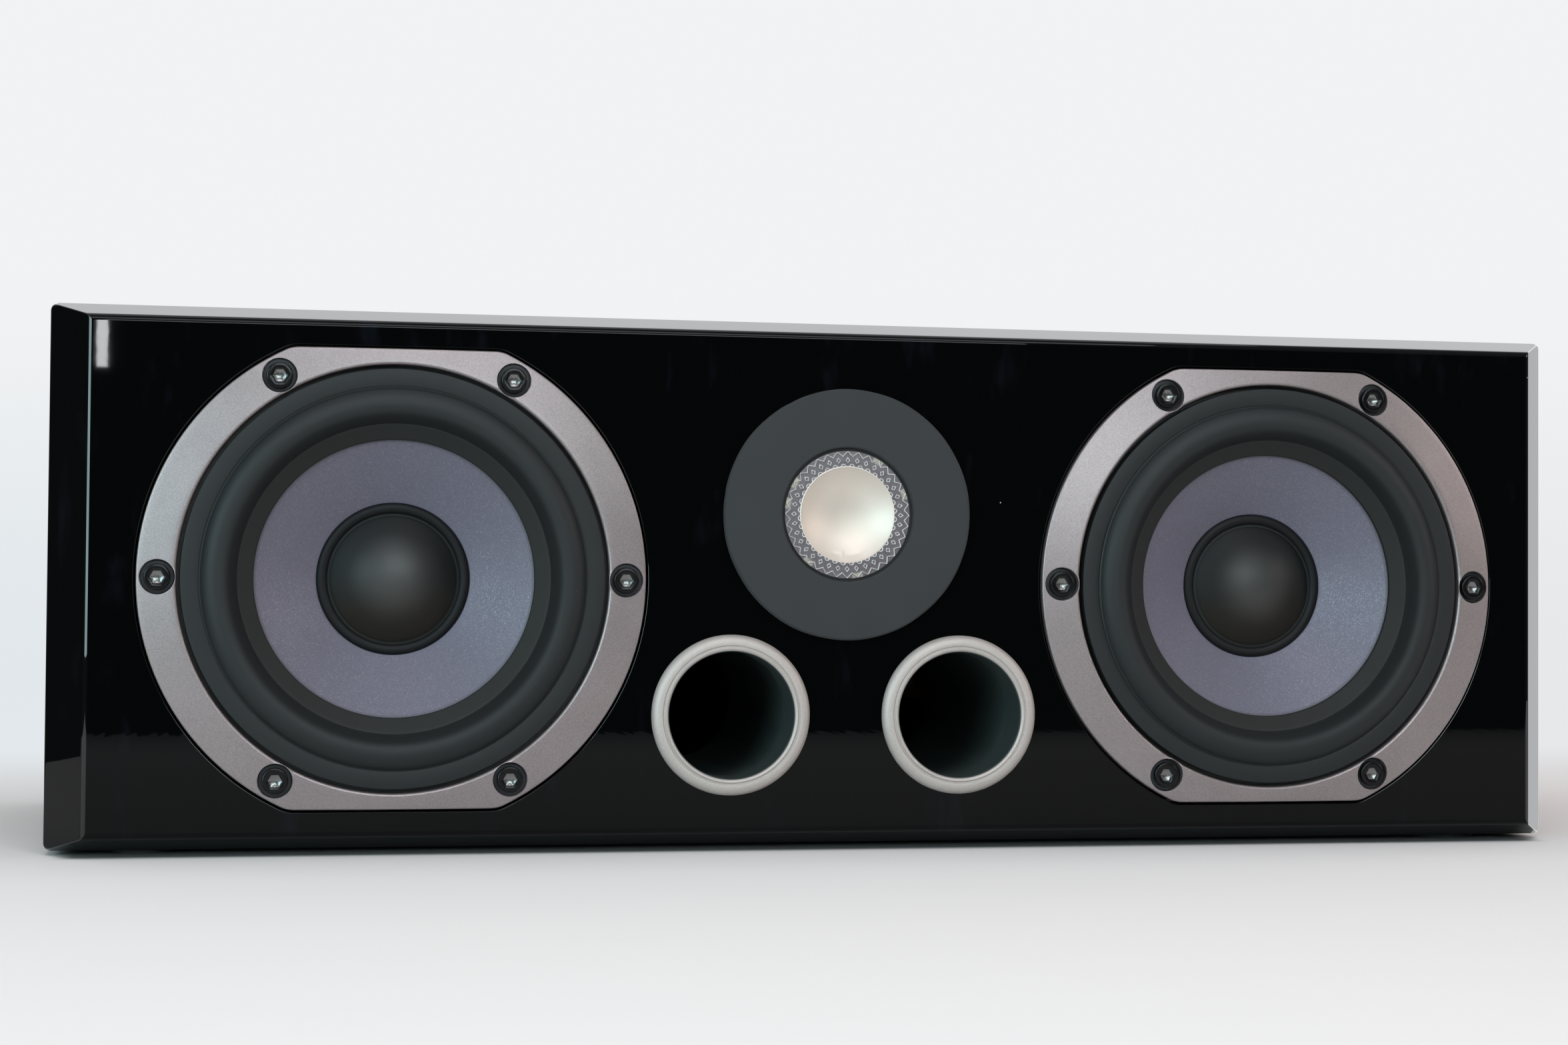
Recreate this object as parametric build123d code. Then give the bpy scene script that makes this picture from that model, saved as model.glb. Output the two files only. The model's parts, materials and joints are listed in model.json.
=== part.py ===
from build123d import *
import os
from math import cos, radians, sin, sqrt

# Center channel loudspeaker: a lacquered cabinet with a bevelled front, two woofers, a dome tweeter between
# them and two ports below it. Millimetres. +X is to the right seen from the front, the front looks towards -Y,
# +Z is up, and the origin lies under the middle of the cabinet, on the surface that it stands on.
# Depth is counted from the plane of the front face towards the rear, so what stands proud has a negative depth.

# Woofer, from the middle outwards
COIL_R = 12.75  # inside of the coil former
FORMER_T = 0.4
COIL_T = 0.8  # winding on the former
COIL_H = 16.0
CAP_DOME_R = 17.6  # dome of the dust cap, inside its rim
CAP_DOME_H = 5.0
CAP_RIM_W = 3.2
CAP_RIM_H = 0.9
CAP_T = 0.8
CONE_R = 37.25  # edge of the cone that shows
CONE_DEPTH = 16.6  # from the rim of the cone to its neck
CONE_T = 1.0
NECK_T = 0.7
NECK_H = 4.0
LIP_W = 4.25  # inner lip of the surround, glued to the rim of the cone
LIP_SLOPE = 0.5  # the lip leans back towards the cone
ROLL_W = 9.5  # half roll of the surround
ROLL_H = 2.7  # before the outer land
FOOT_PROUD = 1.4  # inner foot of the roll before the front face
LAND_W = 5.1  # outer land of the surround, glued to the basket
LAND_PROUD = 2.6
SURROUND_T = 0.9
RIM_GAP = 0.2  # glue line between the lip and the rim of the cone
RING_GAP = 1.1  # between the surround and the trim ring
RING_LAND = 10.3  # width of the trim ring
RING_FLAT_LAND = 4.3  # width left at its flats, above and below the bore
RING_CORNER_R = 8.0
RING_PROUD = 1.0  # outer edge of the ring before the front face
RING_RISE = 1.9  # inner lip of the ring before its outer edge
RING_LIP_R = 0.8

# Woofer fixings
SCREW_COUNT = 6
SCREW_INSET = 4.8  # screw circle outside the bore of the trim ring
SCREW_R = 2.0
SCREW_L = 18.0
HEAD_R = 3.5
HEAD_H = 2.0
SOCKET_R = 1.85  # corners of the hexagon socket
SOCKET_DEPTH = 1.3
WASHER_R = 4.5
WASHER_T = 0.8
RING_FLOOR_T = 0.8  # left below the washer
HEAD_GAP = 0.15  # washer to counterbore
SHANK_GAP = 0.25  # shank to clearance hole
PILOT_GAP = 0.1  # shank to the hole in the board

# Basket and motor of the woofer
GASKET_T = 1.0
FLANGE_T = 2.5
FLANGE_INSET = 0.5  # flange of the basket behind the edge of the trim ring
BASKET_T = 2.4
SHOULDER_STEP = 0.9  # shoulder of the basket outside the surround
SHOULDER_DEPTH = 9.0
SEAT_LAP = 0.5  # seat of the surround inside the foot of the roll
LEDGE_DEPTH = 28.0  # seat of the spider
LEDGE_R = 43.8
CAN_R = 34.0
BASE_DEPTH = 44.0
BASE_GAP = 4.0  # hole in the base of the basket round the coil
WINDOW_COUNT = 6
WINDOW_HALF_ANGLE = 21.0
VENT_HALF_ANGLE = 17.0
WINDOW_EDGE = 2.0  # wall left at the ends of a window
SPIDER_T = 0.6
SPIDER_INSET = 0.8
SPIDER_FLAT_W = 5.0  # outer flat that is glued to the ledge
SPIDER_WAVES = 4
SPIDER_WAVE_H = 1.6
GLUE_GAP = 0.3
PLATE_R = 42.0
PLATE_T = 6.0
COIL_GAP = 0.45  # coil to top plate
POLE_GAP = 0.55  # former to pole
MAGNET_R = 45.0
MAGNET_BORE_R = 20.0
MAGNET_T = 16.0
YOKE_T = 6.0
VENT_R = 4.0
STRIP_W = 14.0  # terminal strip on the back of the ledge
STRIP_T = 1.6
STRIP_GAP = 2.0  # strip to the top plate

# Tweeter
TWEETER_R = 34.8  # soft cover ring
COVER_T = 2.0
COVER_BORE_R = 18.6
COVER_EDGE_R = 0.8
COVER_LAP = 0.9  # cover over the edge of the flange
TWEETER_FLANGE_T = 4.0
TWEETER_REBATE_GAP = 0.3
COLLAR_W = 2.6  # collar of the flange that carries the diaphragm
COLLAR_GAP = 0.4  # collar to cover
COLLAR_PROUD = 0.1
DIAPHRAGM_R = 17.74
DOME_R = 13.1
DOME_DEPTH = 4.4  # the dome is dished inwards
FOIL_T = 0.5
EMBOSS_COUNT = 36
EMBOSS_H = 0.45
EMBOSS_MARGIN = 0.25  # of the outer triangles from the edge of the foil
TRIANGLE_H = 1.3  # radial height of an outer triangle
TRIANGLE_SHARE = 0.88  # of the pitch
DIAMOND_R = 15.0  # circle of the diamonds
DIAMOND_OUT = 0.75  # radial reach of a diamond outwards
DIAMOND_IN = 0.6
DIAMOND_SHARE = 0.42  # of the pitch
TWEETER_COIL_T = 0.5
TWEETER_COIL_L = 8.0
TWEETER_COIL_GAP = 0.4
DOME_GAP = 0.7  # dome to pole
TWEETER_MOTOR_R = 25.5
TWEETER_PLATE_T = 4.0
TWEETER_MAGNET_BORE_R = 16.0
TWEETER_MAGNET_T = 8.0
TWEETER_YOKE_T = 4.0
TWEETER_HOLE_GAP = 1.0
TWEETER_SCREW_COUNT = 4
TWEETER_SCREW_R = 1.75
TWEETER_SCREW_L = 16.0
TWEETER_HEAD_R = 3.2
TWEETER_HEAD_H = 1.6
TWEETER_HEAD_SINK = 0.1

# Ports
PORT_BORE_R = 17.4
PORT_TRIM_W = 4.6
PORT_TRIM_PROUD = 2.3
PORT_TRIM_EDGE = 0.4
PORT_RIDGE_W = 1.1  # raised inner lip
PORT_GROOVE_H = 0.35
SPIGOT_T = 1.2
SPIGOT_L = 12.0
TUBE_GAP = 0.15
TUBE_T = 2.0
TUBE_L = 110.0
PORT_FLOOR_GAP = 0.65  # tube to bottom panel
PORT_X = 32.2

# Places on the front
RING_PORT_GAP = 8.9
TWEETER_PORT_GAP = 7.2
SIDE_MARGIN = 12.7  # trim ring to the edge of the face
TOP_MARGIN = 7.25  # flat of the trim ring to the edge of the face

# Cabinet
CABINET_D = 190.0  # front face to rear face
BEVEL_X = 11.0
BEVEL_Z = 4.25
BEVEL_DEPTH = 14.6
EDGE_R = 2.0
FACE_EDGE_R = 2.0
BAFFLE_T = 22.0
PANEL_T = 15.0
REAR_T = 15.0
REBATE_DEPTH = 5.0
REBATE_GAP = 0.6
BASKET_HOLE_GAP = 0.5
FOOT_R = 9.0
FOOT_T = 1.2
FOOT_INSET = 26.0
WADDING_T = 25.0
WADDING_GAP = 2.0
WADDING_EDGE_R = 6.0

# Rear terminals
CUP_W = 84.0
CUP_H = 58.0
CUP_FLANGE_T = 2.5
CUP_CORNER_R = 5.0
POCKET_W = 62.0
POCKET_H = 38.0
POCKET_DEPTH = 22.0
POCKET_CORNER_R = 4.0
CUP_WALL = 2.5
CUP_GAP = 0.5
CUP_SCREW_INSET = 5.5
CUP_SCREW_R = 1.75
CUP_SCREW_L = 12.0
CUP_HEAD_R = 3.2
CUP_HEAD_H = 1.8
POST_SPACING = 19.05
POST_R = 3.0
POST_L = 17.0
POST_SHOULDER_R = 6.0
POST_SHOULDER_T = 2.0
POST_BORE_R = 2.05
POST_BORE_L = 14.0
POST_TAIL_L = 9.0
POST_GAP = 0.1
WIRE_HOLE_R = 0.9
NUT_R = 5.5  # corners
NUT_T = 4.0
TERMINAL_CAP_R = 7.0
TERMINAL_CAP_L = 14.0
TERMINAL_CAP_GAP = 0.3
FLUTE_COUNT = 16
FLUTE_R = 0.8

# Crossover and wiring
BOARD_T = 1.6
BOARD_CUP_GAP = 10.0  # board beside the terminal cup
BOARD_MARGIN = 5.0  # above and below the components
BOARD_PART_GAP = 4.0  # between components
STANDOFF_L = 8.0
STANDOFF_R = 3.0
STANDOFF_INSET = 6.0
STANDOFF_PIN_R = 1.4
STANDOFF_HEAD_R = 2.6
STANDOFF_HEAD_T = 1.5
WOOFER_INDUCTOR_R = 17.0
WOOFER_INDUCTOR_H = 16.0
TWEETER_INDUCTOR_R = 11.0
TWEETER_INDUCTOR_H = 10.0
INDUCTOR_BORE_SHARE = 0.45
CAPACITOR_R = 6.5
CAPACITOR_L = 30.0
CAPACITOR_COUNT = 3
CAPACITOR_GAP = 1.0
RESISTOR_W = 8.0
RESISTOR_L = 30.0
RESISTOR_PITCH = 13.0
WIRE_R = 1.1
WIRE_PITCH = 5.0
WIRE_SLACK = 14.0  # room for a bend
WIRE_BEND_R = 5.0

# Radii and depths that follow
FORMER_R = COIL_R + FORMER_T
COIL_OUT_R = FORMER_R + COIL_T
CAP_R = CAP_DOME_R + CAP_RIM_W
ROLL_IN_R = CONE_R + LIP_W
ROLL_OUT_R = ROLL_IN_R + ROLL_W
SURROUND_R = ROLL_OUT_R + LAND_W
RING_BORE_R = SURROUND_R + RING_GAP
RING_R = RING_BORE_R + RING_LAND
RING_FLAT = RING_BORE_R + RING_FLAT_LAND
SCREW_CIRCLE_R = RING_BORE_R + SCREW_INSET
BASKET_R = SURROUND_R + SHOULDER_STEP
BASKET_HOLE_R = BASKET_R + BASKET_HOLE_GAP
RIM_DEPTH = LIP_W * LIP_SLOPE - FOOT_PROUD + SURROUND_T + RIM_GAP
SEAT_DEPTH = SURROUND_T - LAND_PROUD
FLANGE_BACK = REBATE_DEPTH - GASKET_T
RING_SEAT = FLANGE_BACK - FLANGE_T
NECK_DEPTH = RIM_DEPTH + CONE_DEPTH
LEDGE_BACK = LEDGE_DEPTH + BASKET_T
MOTOR_DEPTH = BASE_DEPTH + BASKET_T
PLATE_BACK = MOTOR_DEPTH + PLATE_T
MAGNET_BACK = PLATE_BACK + MAGNET_T
YOKE_BACK = MAGNET_BACK + YOKE_T
STRIP_END = MOTOR_DEPTH - STRIP_GAP
COIL_MIDDLE = MOTOR_DEPTH + PLATE_T / 2
RIM_BACK = -COLLAR_PROUD  # back of the tweeter foil
RIM_FRONT = RIM_BACK - FOIL_T
TWEETER_COIL_R = DOME_R + TWEETER_COIL_T
TWEETER_FLANGE_R = TWEETER_R - COVER_LAP
TWEETER_HOLE_R = TWEETER_MOTOR_R + TWEETER_HOLE_GAP
TWEETER_SCREW_CIRCLE_R = (TWEETER_FLANGE_R + TWEETER_HOLE_R) / 2
TWEETER_PLATE_BACK = TWEETER_FLANGE_T + TWEETER_PLATE_T
TWEETER_MAGNET_BACK = TWEETER_PLATE_BACK + TWEETER_MAGNET_T
TWEETER_BACK = TWEETER_MAGNET_BACK + TWEETER_YOKE_T
PORT_TRIM_R = PORT_BORE_R + PORT_TRIM_W
SPIGOT_R = PORT_BORE_R + SPIGOT_T
TUBE_IN_R = SPIGOT_R + TUBE_GAP
TUBE_OUT_R = TUBE_IN_R + TUBE_T

# Overall sizes and places that follow
CABINET_H = 2 * (RING_FLAT + TOP_MARGIN + BEVEL_Z)
FLOOR_Z = FOOT_T + PANEL_T
WOOFER_Z = FOOT_T + CABINET_H / 2
PORT_Z = FLOOR_Z + PORT_FLOOR_GAP + TUBE_OUT_R
PORT_DROP = WOOFER_Z - PORT_Z
WOOFER_X = PORT_X + sqrt((RING_R + PORT_TRIM_R + RING_PORT_GAP) ** 2 - PORT_DROP ** 2)
TWEETER_Z = PORT_Z + sqrt((TWEETER_R + PORT_TRIM_R + TWEETER_PORT_GAP) ** 2 - PORT_X ** 2)
CABINET_W = 2 * (WOOFER_X + RING_R + SIDE_MARGIN + BEVEL_X)
INNER_BACK = CABINET_D - REAR_T
POCKET_FLOOR = CABINET_D + CUP_FLANGE_T - POCKET_DEPTH
SHOULDER_TOP = POCKET_FLOOR + POST_SHOULDER_T
POST_END = SHOULDER_TOP + POST_L
BOARD_BACK = INNER_BACK - STANDOFF_L
BOARD_FRONT = BOARD_BACK - BOARD_T
CAPACITOR_PITCH = 2 * CAPACITOR_R + CAPACITOR_GAP
UPPER_ROW_W = 2 * WOOFER_INDUCTOR_R + BOARD_PART_GAP + RESISTOR_L
LOWER_ROW_W = 2 * TWEETER_INDUCTOR_R + BOARD_PART_GAP + CAPACITOR_COUNT * CAPACITOR_PITCH
BOARD_W = max(UPPER_ROW_W, LOWER_ROW_W) + 4 * STANDOFF_INSET
BOARD_H = 2 * WOOFER_INDUCTOR_R + BOARD_PART_GAP + CAPACITOR_L + 2 * BOARD_MARGIN
BOARD_LEFT = CUP_W / 2 + BOARD_CUP_GAP
BOARD_X = BOARD_LEFT + BOARD_W / 2
ROWS_LEFT = BOARD_LEFT + 2 * STANDOFF_INSET
UPPER_ROW_Z = BOARD_H / 2 - BOARD_MARGIN - WOOFER_INDUCTOR_R
LOWER_ROW_Z = BOARD_MARGIN + CAPACITOR_L / 2 - BOARD_H / 2
FRONT_REACH = max(LAND_PROUD + ROLL_H, RING_PROUD + RING_RISE, EMBOSS_H - RIM_FRONT)
REAR_REACH = CABINET_D + CUP_FLANGE_T + CUP_HEAD_H
FACE_Y = (FRONT_REACH - REAR_REACH) / 2

SIDES = {"left": -1, "right": 1}


# Building blocks

def turned(start, *steps):
    """Turn a profile of (radius, depth) points about the depth axis; a step of four numbers is an arc."""
    edges = []
    here = start
    for step in steps + (start,):
        there = step[-2:]
        if len(step) == 4:
            edges.append(ThreePointArc(here, step[:2], there))
        else:
            edges.append(Line(here, there))
        here = there
    return revolve(make_face(edges), Axis.Y)


def ring(inner, outer, front, back):
    return turned((inner, front), (outer, front), (outer, back), (inner, back))


def rod(radius, front, back, x=0.0, z=0.0):
    return Pos(x, 0, z) * ring(0, radius, front, back)


def slab(outline, front, back):
    """Carry a flat outline, drawn as seen from the front, from one depth to another."""
    return extrude(Plane((0, back, 0), (1, 0, 0), (0, -1, 0)) * outline, back - front)


def around(radius, count, start=0.0):
    """Places (x, z) evenly spaced on a circle."""
    angles = [radians(start + i * 360 / count) for i in range(count)]
    return [(radius * cos(a), radius * sin(a)) for a in angles]


def wedges(inner, outer, half_angle, count, front, back):
    """Sectors between two radii, centred between the screws."""
    a = radians(half_angle)
    corners = [(inner * cos(a), -inner * sin(a)), (outer, -outer * sin(a) / cos(a))]
    corners += [(outer, outer * sin(a) / cos(a)), (inner * cos(a), inner * sin(a))]
    wedge = slab(make_face(Polyline(*corners, close=True)), front, back)
    return [Rot(0, (i + 0.5) * 360 / count, 0) * wedge for i in range(count)]


def put(piece, x=0.0, z=0.0):
    return Pos(x, FACE_Y, z) * piece


def group(pieces):
    return Compound([solid for piece in pieces for solid in piece.solids()])


def sphere_depth(radius, edge_radius, edge_depth, height):
    """Depth of a shallow dome at a radius; its edge and its height are given."""
    ball = (edge_radius ** 2 + height ** 2) / (2 * height)
    return edge_depth - height + ball - sqrt(ball ** 2 - radius ** 2)


# Woofer

def cone_depth(radius):
    """Depth of the front of the cone, inside its flared rim."""
    return RIM_DEPTH + (CONE_R - radius) * CONE_DEPTH / (CONE_R - FORMER_R)


def lip_depth(radius):
    """Depth of the front of the surround's lip."""
    return (ROLL_IN_R - radius) * LIP_SLOPE - FOOT_PROUD


def ring_outline(inset=0.0):
    """Round outline with a flat above and below, its corners rounded."""
    round_part = Circle(RING_R - inset)
    outline = round_part & Rectangle(2 * RING_R, 2 * (RING_FLAT - inset))
    return fillet(outline.vertices(), RING_CORNER_R)


def trim_ring():
    lip_front = -RING_PROUD - RING_RISE
    slope = RING_RISE / RING_LAND
    lip_r = RING_BORE_R + RING_LIP_R
    turn = RING_LIP_R * (1 - sqrt(0.5))
    body = turned(
        (RING_BORE_R, RING_SEAT),
        (RING_BORE_R, lip_front + RING_LIP_R),
        (RING_BORE_R + turn, lip_front + turn, lip_r, lip_front + RING_LIP_R * slope),
        (RING_R, -RING_PROUD),
        (RING_R, RING_SEAT),
    )
    body &= slab(ring_outline(), lip_front, RING_SEAT)
    floor = RING_SEAT - RING_FLOOR_T
    for x, z in around(SCREW_CIRCLE_R, SCREW_COUNT):
        body -= rod(WASHER_R + HEAD_GAP, lip_front - HEAD_GAP, floor, x, z)
        body -= rod(SCREW_R + SHANK_GAP, floor, RING_SEAT, x, z)
    return body


def washer():
    floor = RING_SEAT - RING_FLOOR_T
    return ring(SCREW_R + SHANK_GAP, WASHER_R, floor - WASHER_T, floor)


def socket_screw():
    seat = RING_SEAT - RING_FLOOR_T - WASHER_T
    edge = HEAD_H / 6
    body = turned(
        (0, seat - HEAD_H),
        (HEAD_R - edge, seat - HEAD_H),
        (HEAD_R, seat - HEAD_H + edge),
        (HEAD_R, seat),
        (SCREW_R, seat),
        (SCREW_R, seat + SCREW_L),
        (0, seat + SCREW_L),
    )
    socket = RegularPolygon(SOCKET_R, 6)
    return body - slab(socket, seat - HEAD_H, seat - HEAD_H + SOCKET_DEPTH)


def gasket():
    band = slab(ring_outline(FLANGE_INSET), FLANGE_BACK, REBATE_DEPTH)
    band -= rod(BASKET_HOLE_R, FLANGE_BACK, REBATE_DEPTH)
    for x, z in around(SCREW_CIRCLE_R, SCREW_COUNT):
        band -= rod(SCREW_R + SHANK_GAP, FLANGE_BACK, REBATE_DEPTH, x, z)
    return band


def basket():
    seat_in = ROLL_OUT_R - SEAT_LAP
    can_out = CAN_R + BASKET_T
    base_bore = COIL_OUT_R + BASE_GAP
    body = turned(
        (seat_in, SEAT_DEPTH),
        (SURROUND_R, SEAT_DEPTH),
        (SURROUND_R, RING_SEAT),
        (RING_R, RING_SEAT),
        (RING_R, FLANGE_BACK),
        (BASKET_R, FLANGE_BACK),
        (BASKET_R, SHOULDER_DEPTH),
        (LEDGE_R + BASKET_T, LEDGE_BACK),
        (can_out, LEDGE_BACK),
        (can_out, MOTOR_DEPTH),
        (base_bore, MOTOR_DEPTH),
        (base_bore, BASE_DEPTH),
        (CAN_R, BASE_DEPTH),
        (CAN_R, LEDGE_DEPTH),
        (LEDGE_R, LEDGE_DEPTH),
        (BASKET_R - BASKET_T, SHOULDER_DEPTH),
        (seat_in, FLANGE_BACK),
    )
    body &= slab(ring_outline(FLANGE_INSET), SEAT_DEPTH, MOTOR_DEPTH)
    for x, z in around(SCREW_CIRCLE_R, SCREW_COUNT):
        body -= rod(SCREW_R + SHANK_GAP, RING_SEAT, FLANGE_BACK, x, z)
    window_front = SHOULDER_DEPTH + WINDOW_EDGE
    window_back = LEDGE_DEPTH - WINDOW_EDGE
    body -= wedges(LEDGE_R - BASKET_T, BASKET_R, WINDOW_HALF_ANGLE, WINDOW_COUNT, window_front, window_back)
    vent_front = LEDGE_BACK + WINDOW_EDGE
    vent_back = BASE_DEPTH - WINDOW_EDGE
    body -= wedges(CAN_R - BASKET_T, can_out + BASKET_T, VENT_HALF_ANGLE, WINDOW_COUNT, vent_front, vent_back)
    return body


def surround():
    crest = -LAND_PROUD - ROLL_H
    middle = (ROLL_IN_R + ROLL_OUT_R) / 2
    inside_foot = ROLL_IN_R + SURROUND_T
    return turned(
        (SURROUND_R, -LAND_PROUD),
        (SURROUND_R, SEAT_DEPTH),
        (ROLL_OUT_R - SURROUND_T, SEAT_DEPTH),
        (middle, crest + SURROUND_T, inside_foot, lip_depth(inside_foot) + SURROUND_T),
        (CONE_R, lip_depth(CONE_R) + SURROUND_T),
        (CONE_R, lip_depth(CONE_R)),
        (ROLL_IN_R, lip_depth(ROLL_IN_R)),
        (middle, crest, ROLL_OUT_R, -LAND_PROUD),
    )


def cone():
    neck_out = FORMER_R + NECK_T
    neck_end = NECK_DEPTH + NECK_H
    rim_r = ROLL_IN_R - RIM_GAP
    rim_front = lip_depth(rim_r) + SURROUND_T + RIM_GAP
    return turned(
        (rim_r, rim_front),
        (CONE_R, RIM_DEPTH),
        (FORMER_R, NECK_DEPTH),
        (FORMER_R, neck_end),
        (neck_out, neck_end),
        (neck_out, cone_depth(neck_out) + CONE_T),
        (CONE_R, RIM_DEPTH + CONE_T),
        (rim_r, rim_front + CONE_T),
    )


def dust_cap():
    edge = cone_depth(CAP_R)
    half = CAP_DOME_R / 2
    skirt_r = CAP_R - CAP_RIM_H
    under = edge + CAP_T
    return turned(
        (0, edge - CAP_DOME_H),
        (half, sphere_depth(half, CAP_DOME_R, edge, CAP_DOME_H), CAP_DOME_R, edge),
        (CAP_DOME_R + CAP_RIM_W / 2, edge - CAP_RIM_H, CAP_R, edge),
        (skirt_r, cone_depth(skirt_r)),
        (CAP_DOME_R, under),
        (half, sphere_depth(half, CAP_DOME_R, under, CAP_DOME_H), 0, under - CAP_DOME_H),
    )


def coil_former():
    return ring(COIL_R, FORMER_R, NECK_DEPTH - NECK_T, COIL_MIDDLE + COIL_H / 2)


def voice_coil():
    return ring(FORMER_R, COIL_OUT_R, COIL_MIDDLE - COIL_H / 2, COIL_MIDDLE + COIL_H / 2)


def spider():
    inner = FORMER_R + GLUE_GAP
    outer = LEDGE_R - SPIDER_INSET
    wave_end = outer - SPIDER_FLAT_W
    step = (wave_end - inner) / (2 * SPIDER_WAVES)
    front = LEDGE_DEPTH - SPIDER_T
    line = [(inner + i * step, front - (i % 2) * SPIDER_WAVE_H) for i in range(2 * SPIDER_WAVES + 1)]
    line.append((outer, front))
    back = [(r, depth + SPIDER_T) for r, depth in reversed(line)]
    return turned(*line, *back)


def top_plate():
    return ring(COIL_OUT_R + COIL_GAP, PLATE_R, MOTOR_DEPTH, PLATE_BACK)


def magnet():
    return ring(MAGNET_BORE_R, MAGNET_R, PLATE_BACK, MAGNET_BACK)


def pole_yoke():
    pole_r = COIL_R - POLE_GAP
    return turned(
        (VENT_R, MOTOR_DEPTH),
        (pole_r, MOTOR_DEPTH),
        (pole_r, MAGNET_BACK),
        (PLATE_R, MAGNET_BACK),
        (PLATE_R, YOKE_BACK),
        (VENT_R, YOKE_BACK),
    )


def strip_x():
    """Place of the terminal strip on the back of the ledge, towards the middle of the cabinet."""
    return (CAN_R + LEDGE_R) / 2 + BASKET_T


def terminal_strip(side):
    strip = slab(Rectangle(STRIP_T, STRIP_W), LEDGE_BACK, STRIP_END)
    return Pos(-side * strip_x(), 0, 0) * strip


# Tweeter

def tweeter_cover():
    round_in = COVER_EDGE_R * (1 - sqrt(0.5))
    return turned(
        (COVER_BORE_R, 0),
        (COVER_BORE_R, COVER_EDGE_R - COVER_T),
        (COVER_BORE_R + round_in, round_in - COVER_T, COVER_BORE_R + COVER_EDGE_R, -COVER_T),
        (TWEETER_R - COVER_EDGE_R, -COVER_T),
        (TWEETER_R - round_in, round_in - COVER_T, TWEETER_R, COVER_EDGE_R - COVER_T),
        (TWEETER_R, 0),
    )


def tweeter_screw(gap=0.0):
    """Countersunk screw; with a gap, the room that it needs."""
    head_end = TWEETER_HEAD_SINK + TWEETER_HEAD_H
    return turned(
        (0, TWEETER_HEAD_SINK - gap),
        (TWEETER_HEAD_R + gap, TWEETER_HEAD_SINK - gap),
        (TWEETER_SCREW_R + gap, head_end - gap),
        (TWEETER_SCREW_R + gap, TWEETER_SCREW_L + gap),
        (0, TWEETER_SCREW_L + gap),
    )


def tweeter_flange():
    collar_out = COVER_BORE_R - COLLAR_GAP
    bore = collar_out - COLLAR_W
    body = turned(
        (bore, -COLLAR_PROUD),
        (collar_out, -COLLAR_PROUD),
        (collar_out, 0),
        (TWEETER_FLANGE_R, 0),
        (TWEETER_FLANGE_R, TWEETER_FLANGE_T),
        (bore, TWEETER_FLANGE_T),
    )
    for x, z in around(TWEETER_SCREW_CIRCLE_R, TWEETER_SCREW_COUNT, 45):
        body -= Pos(x, 0, z) * tweeter_screw(PILOT_GAP)
    return body


def pyramid(corners, peak):
    """Low pyramid on the foil: corners and peak as (radius, angle in degrees)."""
    def point(radius, angle, depth):
        return (radius * cos(radians(angle)), depth, radius * sin(radians(angle)))

    root = [point(r, a, RIM_FRONT + FOIL_T / 2) for r, a in corners]
    top = point(*peak, RIM_FRONT - EMBOSS_H)
    faces = [Face(Wire.make_polygon(root))]
    for i, corner in enumerate(root):
        faces.append(Face(Wire.make_polygon([root[i - 1], corner, top])))
    return Solid(Shell(faces))


def tweeter_diaphragm():
    """Inward dome and rim are one foil; the rim is embossed with diamonds and a zigzag of triangles."""
    half = DOME_R / 2
    fall = -sphere_depth(half, DOME_R, 0, DOME_DEPTH)
    foil = turned(
        (0, RIM_FRONT + DOME_DEPTH),
        (half, RIM_FRONT + fall, DOME_R, RIM_FRONT),
        (DIAPHRAGM_R, RIM_FRONT),
        (DIAPHRAGM_R, RIM_BACK),
        (DOME_R, RIM_BACK),
        (half, RIM_BACK + fall, 0, RIM_BACK + DOME_DEPTH),
    )
    pitch = 360 / EMBOSS_COUNT
    base_r = DIAPHRAGM_R - EMBOSS_MARGIN
    tip_r = base_r - TRIANGLE_H
    embossing = []
    for i in range(EMBOSS_COUNT):
        at = 90 + i * pitch
        wide = DIAMOND_SHARE * pitch / 2
        diamond = [(DIAMOND_R + DIAMOND_OUT, at), (DIAMOND_R, at + wide)]
        diamond += [(DIAMOND_R - DIAMOND_IN, at), (DIAMOND_R, at - wide)]
        embossing.append(pyramid(diamond, (DIAMOND_R, at)))
        between = at + pitch / 2
        wide = TRIANGLE_SHARE * pitch / 2
        triangle = [(base_r, between - wide), (base_r, between + wide), (tip_r, between)]
        embossing.append(pyramid(triangle, (base_r - TRIANGLE_H / 3, between)))
    return foil + embossing


def tweeter_voice_coil():
    return ring(DOME_R, TWEETER_COIL_R, RIM_BACK, RIM_BACK + TWEETER_COIL_L)


def tweeter_top_plate():
    return ring(TWEETER_COIL_R + TWEETER_COIL_GAP, TWEETER_MOTOR_R, TWEETER_FLANGE_T, TWEETER_PLATE_BACK)


def tweeter_magnet():
    return ring(TWEETER_MAGNET_BORE_R, TWEETER_MOTOR_R, TWEETER_PLATE_BACK, TWEETER_MAGNET_BACK)


def tweeter_yoke():
    pole_r = DOME_R - TWEETER_COIL_GAP
    pole_front = RIM_BACK + DOME_DEPTH + DOME_GAP
    return turned(
        (0, pole_front),
        (pole_r, pole_front),
        (pole_r, TWEETER_MAGNET_BACK),
        (TWEETER_MOTOR_R, TWEETER_MAGNET_BACK),
        (TWEETER_MOTOR_R, TWEETER_BACK),
        (0, TWEETER_BACK),
    )


# Ports

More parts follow.
